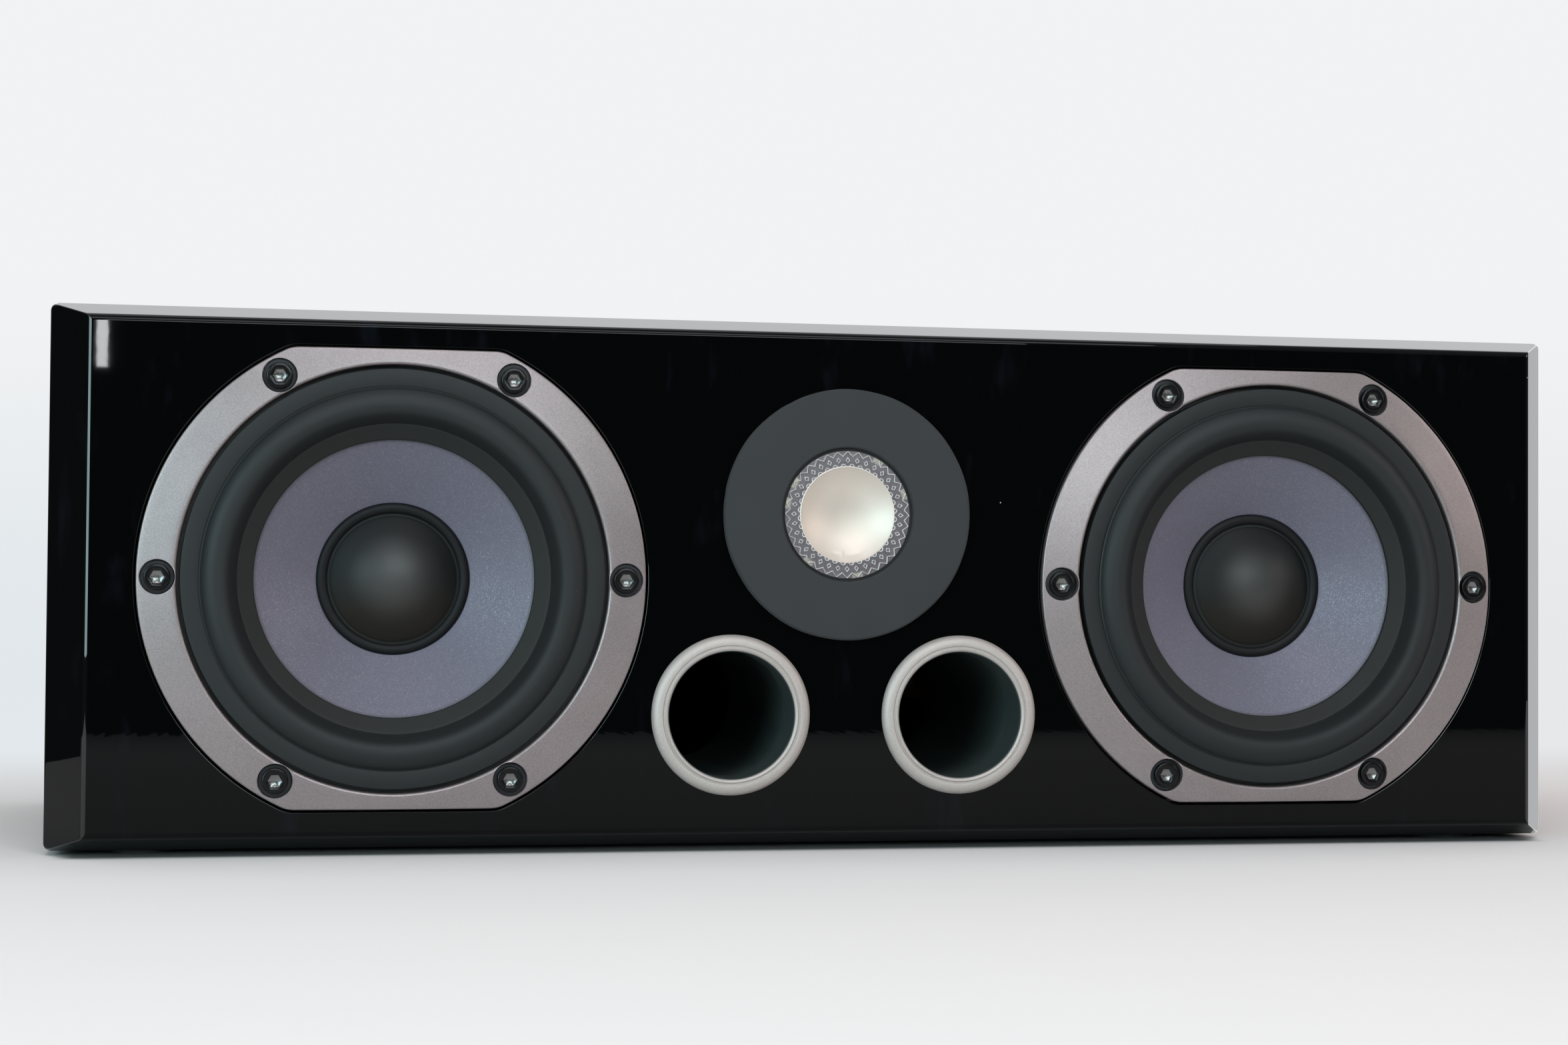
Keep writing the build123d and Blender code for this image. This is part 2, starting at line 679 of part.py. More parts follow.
def port_trim():
    ridge_r = PORT_BORE_R + PORT_RIDGE_W
    groove_r = ridge_r + PORT_GROOVE_H
    crest_r = (groove_r + PORT_TRIM_R) / 2
    groove = PORT_GROOVE_H - PORT_TRIM_PROUD
    throat = PORT_RIDGE_W - PORT_TRIM_PROUD
    turn = PORT_RIDGE_W * (1 - sqrt(0.5))
    return turned(
        (PORT_BORE_R, SPIGOT_L),
        (PORT_BORE_R, throat),
        (PORT_BORE_R + turn, turn - PORT_TRIM_PROUD, ridge_r, -PORT_TRIM_PROUD),
        (groove_r, groove),
        (crest_r, -PORT_TRIM_PROUD, PORT_TRIM_R, -PORT_TRIM_EDGE),
        (PORT_TRIM_R, 0),
        (SPIGOT_R, 0),
        (SPIGOT_R, SPIGOT_L),
    )


def port_tube():
    return ring(TUBE_IN_R, TUBE_OUT_R, 0, TUBE_L)


# Cabinet

def cabinet_block():
    """The whole lacquered outside, before it is parted into panels."""
    face = Rectangle(CABINET_W - 2 * BEVEL_X, CABINET_H - 2 * BEVEL_Z)
    full = Rectangle(CABINET_W, CABINET_H)
    front_plane = Plane((0, 0, 0), (1, 0, 0), (0, -1, 0))
    bevelled = loft([front_plane * face, front_plane.offset(-BEVEL_DEPTH) * full])
    block = bevelled + slab(full, BEVEL_DEPTH, CABINET_D)
    face_edges = block.faces().sort_by(Axis.Y)[0].edges()
    outer_edges = block.edges().filter_by(lambda e: e not in face_edges and e.center().Y >= BEVEL_DEPTH)
    block = fillet(outer_edges, EDGE_R)
    return fillet(block.faces().sort_by(Axis.Y)[0].edges(), FACE_EDGE_R)


def front_baffle(block):
    whole = Rectangle(CABINET_W, CABINET_H)
    board = block & slab(whole, 0, BAFFLE_T)
    cuts = []
    for side in SIDES.values():
        woofer = slab(ring_outline(-REBATE_GAP), 0, REBATE_DEPTH) + rod(BASKET_HOLE_R, 0, BAFFLE_T)
        for x, z in around(SCREW_CIRCLE_R, SCREW_COUNT):
            woofer += rod(SCREW_R + PILOT_GAP, 0, RING_SEAT - RING_FLOOR_T + SCREW_L, x, z)
        cuts.append(Pos(side * WOOFER_X, 0, 0) * woofer)
        cuts.append(rod(TUBE_OUT_R + TUBE_GAP, 0, BAFFLE_T, side * PORT_X, -PORT_DROP))
    tweeter = rod(TWEETER_FLANGE_R + TWEETER_REBATE_GAP, 0, TWEETER_FLANGE_T)
    tweeter += rod(TWEETER_HOLE_R, 0, BAFFLE_T)
    for x, z in around(TWEETER_SCREW_CIRCLE_R, TWEETER_SCREW_COUNT, 45):
        tweeter += rod(TWEETER_SCREW_R + PILOT_GAP, 0, TWEETER_SCREW_L + PILOT_GAP, x, z)
    cuts.append(Pos(0, 0, TWEETER_Z - WOOFER_Z) * tweeter)
    return board - cuts


def panel(block, corners):
    """One mitred panel: the part of the block behind the baffle inside a four-cornered outline."""
    outline = make_face(Polyline(*corners, close=True))
    return block & slab(outline, BAFFLE_T, CABINET_D)


def mitred_panels(block):
    x, z = CABINET_W / 2, CABINET_H / 2
    ix, iz = x - PANEL_T, z - PANEL_T
    return {
        "top_panel": panel(block, [(-x, z), (x, z), (ix, iz), (-ix, iz)]),
        "bottom_panel": panel(block, [(-x, -z), (x, -z), (ix, -iz), (-ix, -iz)]),
        "left_side_panel": panel(block, [(-x, -z), (-ix, -iz), (-ix, iz), (-x, z)]),
        "right_side_panel": panel(block, [(x, -z), (ix, -iz), (ix, iz), (x, z)]),
    }


def cup_screw_places():
    x, z = CUP_W / 2 - CUP_SCREW_INSET, CUP_H / 2 - CUP_SCREW_INSET
    return [(-x, -z), (x, -z), (x, z), (-x, z)]


def rear_panel():
    opening = RectangleRounded(
        POCKET_W + 2 * (CUP_WALL + CUP_GAP),
        POCKET_H + 2 * (CUP_WALL + CUP_GAP),
        POCKET_CORNER_R + CUP_WALL,
    )
    outline = Rectangle(CABINET_W - 2 * PANEL_T, CABINET_H - 2 * PANEL_T) - opening
    board = slab(outline, INNER_BACK, CABINET_D)
    for x, z in cup_screw_places():
        board -= rod(CUP_SCREW_R + PILOT_GAP, CABINET_D + CUP_FLANGE_T - CUP_SCREW_L, CABINET_D, x, z)
    return board


def feet():
    x, y = CABINET_W / 2 - FOOT_INSET, CABINET_D / 2 - FOOT_INSET
    pads = []
    for corner_x in (-x, x):
        for corner_y in (CABINET_D / 2 - y, CABINET_D / 2 + y):
            pads.append(Pos(corner_x, FACE_Y + corner_y, 0) * extrude(Circle(FOOT_R), FOOT_T))
    return group(pads)


def wadding():
    """Pad on the rear wall beside the terminal cup."""
    inner_x = CABINET_W / 2 - PANEL_T - WADDING_GAP
    cup_x = CUP_W / 2 + WADDING_GAP
    height = CABINET_H - 2 * (PANEL_T + WADDING_GAP)
    pad = slab(Rectangle(inner_x - cup_x, height), INNER_BACK - WADDING_T, INNER_BACK)
    pad = fillet(pad.faces().sort_by(Axis.Y)[0].edges(), WADDING_EDGE_R)
    return Pos(-(inner_x + cup_x) / 2, 0, 0) * pad


# Rear terminals

def terminal_cup():
    flange = RectangleRounded(CUP_W, CUP_H, CUP_CORNER_R)
    pocket = RectangleRounded(POCKET_W, POCKET_H, POCKET_CORNER_R)
    outer_w, outer_h = POCKET_W + 2 * CUP_WALL, POCKET_H + 2 * CUP_WALL
    shell = RectangleRounded(outer_w, outer_h, POCKET_CORNER_R + CUP_WALL)
    back = CABINET_D + CUP_FLANGE_T
    body = slab(flange, CABINET_D, back) + slab(shell, POCKET_FLOOR - CUP_WALL, CABINET_D)
    body -= slab(pocket, POCKET_FLOOR, back)
    for x, z in cup_screw_places():
        body -= rod(CUP_SCREW_R + SHANK_GAP, CABINET_D, back, x, z)
    for side in SIDES.values():
        body -= rod(POST_R + POST_GAP, POCKET_FLOOR - CUP_WALL, POCKET_FLOOR, side * POST_SPACING / 2)
    return body


def cup_screw():
    seat = CABINET_D + CUP_FLANGE_T
    half = CUP_HEAD_R / 2
    return turned(
        (0, seat + CUP_HEAD_H),
        (half, 2 * seat - sphere_depth(half, CUP_HEAD_R, seat, CUP_HEAD_H), CUP_HEAD_R, seat),
        (CUP_SCREW_R, seat),
        (CUP_SCREW_R, seat - CUP_SCREW_L),
        (0, seat - CUP_SCREW_L),
    )


def terminal_post():
    inside = POCKET_FLOOR - CUP_WALL - POST_TAIL_L
    body = turned(
        (0, inside),
        (POST_R, inside),
        (POST_R, POCKET_FLOOR),
        (POST_SHOULDER_R, POCKET_FLOOR),
        (POST_SHOULDER_R, SHOULDER_TOP),
        (POST_R, SHOULDER_TOP),
        (POST_R, POST_END),
        (POST_BORE_R, POST_END),
        (POST_BORE_R, POST_END - POST_BORE_L),
        (0, POST_END - POST_BORE_L),
    )
    wire_hole = Pos(0, SHOULDER_TOP + 2 * WIRE_HOLE_R, 0) * Cylinder(WIRE_HOLE_R, 3 * POST_R)
    return body - wire_hole


def post_nut():
    back = POCKET_FLOOR - CUP_WALL
    return slab(RegularPolygon(NUT_R, 6), back - NUT_T, back) - rod(POST_R + POST_GAP, back - NUT_T, back)


def terminal_cap():
    end = SHOULDER_TOP + TERMINAL_CAP_L
    body = ring(POST_R + TERMINAL_CAP_GAP, TERMINAL_CAP_R, SHOULDER_TOP, end)
    grip_start = SHOULDER_TOP + POST_SHOULDER_T
    for x, z in around(TERMINAL_CAP_R, FLUTE_COUNT):
        body -= rod(FLUTE_R, grip_start, end, x, z)
    return body


# Crossover

def standoff_places():
    x, z = BOARD_W / 2 - STANDOFF_INSET, BOARD_H / 2 - STANDOFF_INSET
    return [(BOARD_X - x, -z), (BOARD_X + x, -z), (BOARD_X + x, z), (BOARD_X - x, z)]


def standoff():
    """Moulded support that snaps through the board."""
    return turned(
        (0, INNER_BACK),
        (STANDOFF_R, INNER_BACK),
        (STANDOFF_R, BOARD_BACK),
        (STANDOFF_PIN_R, BOARD_BACK),
        (STANDOFF_PIN_R, BOARD_FRONT),
        (STANDOFF_HEAD_R, BOARD_FRONT),
        (STANDOFF_PIN_R, BOARD_FRONT - STANDOFF_HEAD_T),
        (0, BOARD_FRONT - STANDOFF_HEAD_T),
    )


def crossover_board():
    board = Pos(BOARD_X, 0, 0) * slab(Rectangle(BOARD_W, BOARD_H), BOARD_FRONT, BOARD_BACK)
    for x, z in standoff_places():
        board -= rod(STANDOFF_PIN_R + POST_GAP, BOARD_FRONT, BOARD_BACK, x, z)
    return board


def inductor(radius, height):
    return ring(radius * INDUCTOR_BORE_SHARE, radius, BOARD_FRONT - height, BOARD_FRONT)


def capacitors():
    can = Rot(90, 0, 0) * ring(0, CAPACITOR_R, -CAPACITOR_L / 2, CAPACITOR_L / 2)
    depth = BOARD_FRONT - CAPACITOR_R - GLUE_GAP
    first_x = ROWS_LEFT + 2 * TWEETER_INDUCTOR_R + BOARD_PART_GAP + CAPACITOR_PITCH / 2
    places = [first_x + i * CAPACITOR_PITCH for i in range(CAPACITOR_COUNT)]
    return [Pos(x, depth, LOWER_ROW_Z) * can for x in places]


def resistors():
    block = slab(Rectangle(RESISTOR_L, RESISTOR_W), BOARD_FRONT - RESISTOR_W, BOARD_FRONT)
    x = ROWS_LEFT + 2 * WOOFER_INDUCTOR_R + BOARD_PART_GAP + RESISTOR_L / 2
    return [Pos(x, 0, UPPER_ROW_Z + i * RESISTOR_PITCH) * block for i in (-0.5, 0.5)]


# Wiring

def wire(*points):
    """Insulated wire along (x, depth, z) points, its bends rounded."""
    path = FilletPolyline(*points, radius=WIRE_BEND_R)
    return sweep(Plane(origin=path @ 0, z_dir=path % 0) * Circle(WIRE_R), path)


def wiring():
    """A pair of wires from each drive unit and from the terminals to the edge of the board."""
    end_x = BOARD_LEFT + WIRE_PITCH
    solder_depth = (LEDGE_BACK + STRIP_END) / 2
    tweeter_z = TWEETER_Z - WOOFER_Z
    tail = POCKET_FLOOR - CUP_WALL - POST_TAIL_L
    leads = []
    for i in (-0.5, 0.5):
        z = i * WIRE_PITCH
        low_z, right_z, left_z, high_z = [z + k * 2 * WIRE_PITCH for k in (-1.5, -0.5, 0.5, 1.5)]
        for side, end_z in ((-1, left_z), (1, right_z)):
            face_x = side * (WOOFER_X - strip_x() - STRIP_T / 2)
            leads.append(wire(
                (face_x, solder_depth, z),
                (face_x - side * WIRE_SLACK, solder_depth, z),
                (end_x, BOARD_FRONT - WIRE_SLACK, end_z),
                (end_x, BOARD_FRONT, end_z),
            ))
        leads.append(wire(
            (0, TWEETER_BACK, tweeter_z + z),
            (0, TWEETER_BACK + WIRE_SLACK, tweeter_z + z),
            (end_x, BOARD_FRONT - WIRE_SLACK, high_z),
            (end_x, BOARD_FRONT, high_z),
        ))
        post_x = i * POST_SPACING
        leads.append(wire(
            (post_x, tail, 0),
            (post_x, tail - WIRE_SLACK, 0),
            (end_x, tail - WIRE_SLACK, low_z),
            (end_x, BOARD_FRONT, low_z),
        ))
    return leads


# Assembly

def woofer_pieces(name, side):
    makers = [trim_ring, basket, surround, cone, dust_cap, coil_former, voice_coil, spider, top_plate]
    makers += [magnet, pole_yoke]
    return {f"{name}_{make.__name__}": put(make(), side * WOOFER_X, WOOFER_Z) for make in makers}


def shared_woofer_pieces():
    screws, washers, gaskets, strips = [], [], [], []
    for side in SIDES.values():
        x = side * WOOFER_X
        for screw_x, screw_z in around(SCREW_CIRCLE_R, SCREW_COUNT):
            screws.append(put(socket_screw(), x + screw_x, WOOFER_Z + screw_z))
            washers.append(put(washer(), x + screw_x, WOOFER_Z + screw_z))
        gaskets.append(put(gasket(), x, WOOFER_Z))
        strips.append(put(terminal_strip(side), x, WOOFER_Z))
    return {
        "woofer_screws": group(screws),
        "woofer_washers": group(washers),
        "woofer_gaskets": group(gaskets),
        "woofer_terminal_strips": group(strips),
    }


def tweeter_pieces():
    makers = [tweeter_cover, tweeter_flange, tweeter_diaphragm, tweeter_voice_coil, tweeter_top_plate]
    makers += [tweeter_magnet, tweeter_yoke]
    pieces = {make.__name__: put(make(), 0, TWEETER_Z) for make in makers}
    places = around(TWEETER_SCREW_CIRCLE_R, TWEETER_SCREW_COUNT, 45)
    pieces["tweeter_screws"] = group([put(tweeter_screw(), x, TWEETER_Z + z) for x, z in places])
    return pieces


def port_pieces(name, side):
    return {
        f"{name}_port_trim": put(port_trim(), side * PORT_X, PORT_Z),
        f"{name}_port_tube": put(port_tube(), side * PORT_X, PORT_Z),
    }


def cabinet_pieces():
    block = cabinet_block()
    pieces = {"front_baffle": front_baffle(block), **mitred_panels(block)}
    pieces["rear_panel"] = rear_panel()
    pieces["damping_wadding"] = wadding()
    pieces = {name: put(piece, 0, WOOFER_Z) for name, piece in pieces.items()}
    pieces["feet"] = feet()
    return pieces


def terminal_pieces():
    half = POST_SPACING / 2
    pieces = {"terminal_cup": put(terminal_cup(), 0, WOOFER_Z)}
    pieces["terminal_cup_screws"] = group([put(cup_screw(), x, WOOFER_Z + z) for x, z in cup_screw_places()])
    pieces["post_nuts"] = group([put(post_nut(), side * half, WOOFER_Z) for side in SIDES.values()])
    for name, x in {"positive": -half, "negative": half}.items():
        pieces[f"{name}_post"] = put(terminal_post(), x, WOOFER_Z)
        pieces[f"{name}_cap"] = put(terminal_cap(), x, WOOFER_Z)
    return pieces


def crossover_pieces():
    upper = WOOFER_Z + UPPER_ROW_Z
    lower = WOOFER_Z + LOWER_ROW_Z
    woofer_coil_x = ROWS_LEFT + WOOFER_INDUCTOR_R
    tweeter_coil_x = ROWS_LEFT + TWEETER_INDUCTOR_R
    return {
        "crossover_board": put(crossover_board(), 0, WOOFER_Z),
        "board_standoffs": group([put(standoff(), x, WOOFER_Z + z) for x, z in standoff_places()]),
        "woofer_inductor": put(inductor(WOOFER_INDUCTOR_R, WOOFER_INDUCTOR_H), woofer_coil_x, upper),
        "tweeter_inductor": put(inductor(TWEETER_INDUCTOR_R, TWEETER_INDUCTOR_H), tweeter_coil_x, lower),
        "crossover_capacitors": group([put(can, 0, WOOFER_Z) for can in capacitors()]),
        "crossover_resistors": group([put(block, 0, WOOFER_Z) for block in resistors()]),
        "internal_wiring": group([put(lead, 0, WOOFER_Z) for lead in wiring()]),
    }


def main():
    pieces = cabinet_pieces()
    for name, side in SIDES.items():
        pieces.update(woofer_pieces(name, side))
        pieces.update(port_pieces(name, side))
    pieces.update(shared_woofer_pieces())
    pieces.update(tweeter_pieces())
    pieces.update(terminal_pieces())
    pieces.update(crossover_pieces())
    os.makedirs("parts", exist_ok=True)
    for name, piece in pieces.items():
        export_step(piece, f"parts/{name}.step")


main()
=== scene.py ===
import json
from math import acos, asin, atan2, cos, exp, hypot, pi, radians, sin, sqrt, tan

import bmesh
import bpy
from bpy.props import FloatProperty, FloatVectorProperty, IntProperty, PointerProperty
from mathutils import Matrix, Vector
from mathutils.geometry import delaunay_2d_cdt
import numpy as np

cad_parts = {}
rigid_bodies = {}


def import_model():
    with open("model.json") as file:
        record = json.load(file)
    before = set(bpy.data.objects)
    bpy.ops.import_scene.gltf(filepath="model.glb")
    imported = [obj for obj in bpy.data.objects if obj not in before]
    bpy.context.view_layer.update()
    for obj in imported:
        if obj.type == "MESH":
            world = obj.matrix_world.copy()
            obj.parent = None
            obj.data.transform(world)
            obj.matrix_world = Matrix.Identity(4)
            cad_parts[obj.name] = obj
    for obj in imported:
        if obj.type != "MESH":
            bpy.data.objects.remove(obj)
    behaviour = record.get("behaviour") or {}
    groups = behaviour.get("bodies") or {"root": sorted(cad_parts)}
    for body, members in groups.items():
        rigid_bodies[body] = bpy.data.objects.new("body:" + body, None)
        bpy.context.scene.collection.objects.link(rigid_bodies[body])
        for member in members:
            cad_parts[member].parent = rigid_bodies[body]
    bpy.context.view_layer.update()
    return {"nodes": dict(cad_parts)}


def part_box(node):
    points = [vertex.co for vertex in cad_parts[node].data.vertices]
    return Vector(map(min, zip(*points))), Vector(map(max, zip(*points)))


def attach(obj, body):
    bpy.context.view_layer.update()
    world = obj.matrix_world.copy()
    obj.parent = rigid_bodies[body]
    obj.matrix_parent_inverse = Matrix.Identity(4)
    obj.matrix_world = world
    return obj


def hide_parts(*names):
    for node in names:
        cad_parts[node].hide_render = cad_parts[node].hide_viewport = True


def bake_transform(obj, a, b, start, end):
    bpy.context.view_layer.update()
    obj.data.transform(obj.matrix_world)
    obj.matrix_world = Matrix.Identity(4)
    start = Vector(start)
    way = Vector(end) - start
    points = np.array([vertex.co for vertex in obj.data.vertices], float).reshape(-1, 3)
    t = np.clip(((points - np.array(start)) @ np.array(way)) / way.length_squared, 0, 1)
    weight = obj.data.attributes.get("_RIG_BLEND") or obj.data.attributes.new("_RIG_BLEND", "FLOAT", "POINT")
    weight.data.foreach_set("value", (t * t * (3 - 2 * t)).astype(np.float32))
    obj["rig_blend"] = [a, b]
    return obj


bl_info = {
    "name": "Center Channel Speaker",
    "version": (1, 0, 0),
    "blender": (4, 5, 0),
    "location": "View3D > Sidebar > Speaker",
    "description": "Dresses a center channel speaker, from its lacquer to its terminals",
    "category": "Object",
}

for startup_object in list(bpy.data.objects):
    bpy.data.objects.remove(startup_object)

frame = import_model()

MM = 0.001
SIDES = ("left", "right")


def middle(node):
    """Centre (x, z) of a node as seen from the front, in metres."""
    low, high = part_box(node)
    return (low.x + high.x) / 2, (low.z + high.z) / 2


FACE_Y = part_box("tweeter_cover")[1].y
WOOFERS = {side: middle(f"{side}_trim_ring") for side in SIDES}
PORTS = {side: middle(f"{side}_port_trim") for side in SIDES}
TWEETER = middle("tweeter_cover")
WOOFER_X, WOOFER_Z = WOOFERS["right"]


def depth_of(node, end):
    """Depth of a node's front (0) or back (1) behind the face, in millimetres."""
    return (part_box(node)[end].y - FACE_Y) / MM


def half_width(node):
    """Half the width of a node, in millimetres."""
    low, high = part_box(node)
    return (high.x - low.x) / 2 / MM


def half_height(node):
    """Half the height of a node, in millimetres."""
    low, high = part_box(node)
    return (high.z - low.z) / 2 / MM


# ---------------------------------------------------------------- settings

def length(name, description, default):
    """A size in millimetres that the sidebar can change."""
    return FloatProperty(name=name, description=description, default=default, min=0.0)


def colour(name, description, default):
    """A colour that the sidebar can change."""
    return FloatVectorProperty(
        name=name, description=description, default=default, size=3, subtype="COLOR", min=0.0, max=1.0
    )


def share(name, description, default):
    """A number from 0 to 1 that the sidebar can change."""
    return FloatProperty(
        name=name, description=description, default=default, min=0.0, max=1.0, subtype="FACTOR"
    )


def camera_turn(name, description, degrees):
    """A turn of the camera that the sidebar can change."""
    return FloatProperty(name=name, description=description, default=radians(degrees), subtype="ANGLE")


def light_power(name, description, default):
    """Power of a light that the sidebar can change."""
    return FloatProperty(name=name, description=description, default=default, unit="POWER")


class CabinetSettings(bpy.types.PropertyGroup):
    lacquer: colour("Lacquer", "Body colour of the gloss lacquer", (0.0009, 0.0011, 0.0012))
    gloss: share("Roughness", "Roughness of the polished lacquer", 0.008)
    # Smudges, tinted bluish as a painted sheen of scattered light.
    smudge_sheen: colour("Smudges", "Bluish haze of faint smudges", (0.0030, 0.0038, 0.0058))
    dust: colour("Dust", "Colour of the few dust specks", (0.30, 0.30, 0.29))
    face_edge: length("Face edge", "Rounding of the front face's edge, mm", 2.0)
    bevel_x: length("Side bevel", "Width of the bevel at the sides, mm", 11.0)
    bevel_z: length("Top bevel", "Width of the bevel at top and bottom, mm", 4.25)
    bevel_depth: length("Bevel depth", "Depth of the bevel, mm", 14.6)
    edge: length("Cabinet edge", "Rounding of the long edges, mm", 2.0)
    rebate_gap: length("Ring gap", "Gap between a trim ring and its rebate, mm", 0.6)
    rebate_edge: length("Rebate edge", "Rounding of the lacquer at a rebate, mm", 0.35)
    rebate_depth: length("Rebate depth", "Depth of the woofer rebate, mm", 5.0)
    tweeter_rebate: length("Tweeter rebate", "Depth of the tweeter rebate, mm", 4.0)


class WooferSettings(bpy.types.PropertyGroup):
    ring_paint: colour("Ring paint", "Silver metallic paint of the trim rings", (0.291, 0.254, 0.256))
    ring_bore: length("Ring bore", "Radius of the trim ring's bore, mm", 57.2)
    ring_lip: length("Ring lip", "Rounding of the ring's inner lip, mm", 0.8)
    ring_edge: length("Ring edge", "Rounding of the ring's outer edge, mm", 0.45)
    ring_rise: length("Ring rise", "Inner lip of the ring before its outer edge, mm", 1.9)
    ring_corner: length("Ring corner", "Softening of the corners at the flats, mm", 0.84)
    screw_circle: length("Screw circle", "Radius of the screw circle, mm", 62.0)
    counterbore: length("Counterbore", "Radius of a counterbore, mm", 4.65)
    shank_hole: length("Shank hole", "Radius of the hole for a screw, mm", 2.25)
    floor: length("Counterbore floor", "Thickness left under a washer, mm", 0.8)
    screw_count: IntProperty(name="Screws", description="Screws round each woofer", default=6, min=3)
    surround: colour("Surround", "Moulded rubber", (0.0070, 0.0096, 0.0107))
    lip: colour("Surround lip", "Rubber that lies on the cone", (0.0088, 0.0096, 0.0090))
    cone: colour("Cone", "Grey of the cone", (0.122, 0.118, 0.157))
    flake: colour("Cone flakes", "Glitter in the cone", (0.34, 0.335, 0.37))
    cap: colour("Dust cap", "Satin black of the cap", (0.0020, 0.0032, 0.0036))
    screw: colour("Screws", "Black oxide", (0.009, 0.009, 0.0095))
    washer: colour("Washers", "Dark plated washers", (0.026, 0.027, 0.030))


class TweeterSettings(bpy.types.PropertyGroup):
    cover: colour("Cover", "Soft matte ring", (0.0276, 0.0305, 0.0330))
    cover_bore: length("Cover bore", "Radius of the cover's bore, mm", 18.6)
    cover_edge: length("Cover edge", "Rounding of the cover's edges, mm", 0.8)
    dome: colour("Dome", "Satin metal of the dome", (0.71, 0.64, 0.57))
    dome_radius: length("Dome radius", "Radius of the dome, mm", 13.1)
    dish: length("Dome depth", "Depth of the inward dome, mm", 4.4)
    emboss: length("Embossing", "Height of the embossed pattern, mm", 0.34)
    emboss_count: IntProperty(name="Diamonds", description="Diamonds round the rim", default=36, min=6)


class PortSettings(bpy.types.PropertyGroup):
    trim: colour("Trim", "Satin silver paint", (0.445, 0.408, 0.385))
    tube: colour("Tube", "Fine-grained black plastic", (0.054, 0.072, 0.070))
    bore: length("Bore", "Radius of the port's bore, mm", 17.4)
    ridge: length("Ridge", "Width of the rolled inner lip, mm", 0.95)


class TerminalSettings(bpy.types.PropertyGroup):
    plastic: colour("Cup", "Black moulded plastic", (0.014, 0.014, 0.015))
    metal: colour("Posts", "Gold plate", (0.86, 0.60, 0.24))
    red: colour("Positive cap", "Red plastic", (0.36, 0.010, 0.012))
    black: colour("Negative cap", "Black plastic", (0.012, 0.012, 0.013))


class StageSettings(bpy.types.PropertyGroup):
    table: colour("Table", "Pale table top", (0.80, 0.80, 0.80))
    lens: FloatProperty(name="Lens", description="Focal length", default=59.2, unit="CAMERA")
    eye: FloatVectorProperty(
        name="Eye",
        description="Camera from the tweeter's axis on the face, mm",
        default=(-155.27, -696.67, -20.46),
    )
    yaw: camera_turn("Yaw", "Turn to the right", 11.165)
    pitch: camera_turn("Pitch", "Tilt upwards", 1.459)
    roll: camera_turn("Roll", "Turn about the view", -0.434)
    top: light_power("Top light", "Soft box over the table", 3.0)
    fill: light_power("Fill light", "Soft box above the camera", 5.3)
    front: light_power("Front light", "Soft box high before the speaker", 6.2)
    side: light_power("Side light", "Large cool soft box at the left", 15.0)
    lamp: light_power("Warm light", "Narrow warm lamp at the right", 5.2)
    window: light_power("Window", "Small strip that shows in the lacquer at the upper left", 0.10)


SETTINGS = {
    "speaker_cabinet": CabinetSettings,
    "speaker_woofer": WooferSettings,
    "speaker_tweeter": TweeterSettings,
    "speaker_port": PortSettings,
    "speaker_terminal": TerminalSettings,
    "speaker_stage": StageSettings,
}


# ---------------------------------------------------------------- shader expressions

class Value:
    """A socket that carries a number; arithmetic on it adds Math nodes."""

    def __init__(self, finish, socket):
        self.finish = finish
        self.socket = socket

    def __add__(self, other):
        return self.finish.math("ADD", self, other)

    def __sub__(self, other):
        return self.finish.math("SUBTRACT", self, other)

    def __rsub__(self, other):
        return self.finish.math("SUBTRACT", other, self)

    def __mul__(self, other):
        return self.finish.math("MULTIPLY", self, other)

    def __truediv__(self, other):
        return self.finish.math("DIVIDE", self, other)

    def __rtruediv__(self, other):
        return self.finish.math("DIVIDE", other, self)

    def __gt__(self, other):
        return self.finish.math("GREATER_THAN", self, other)

    def __lt__(self, other):
        return self.finish.math("LESS_THAN", self, other)

    def __abs__(self):
        return self.finish.math("ABSOLUTE", self)

    __radd__ = __add__
    __rmul__ = __mul__


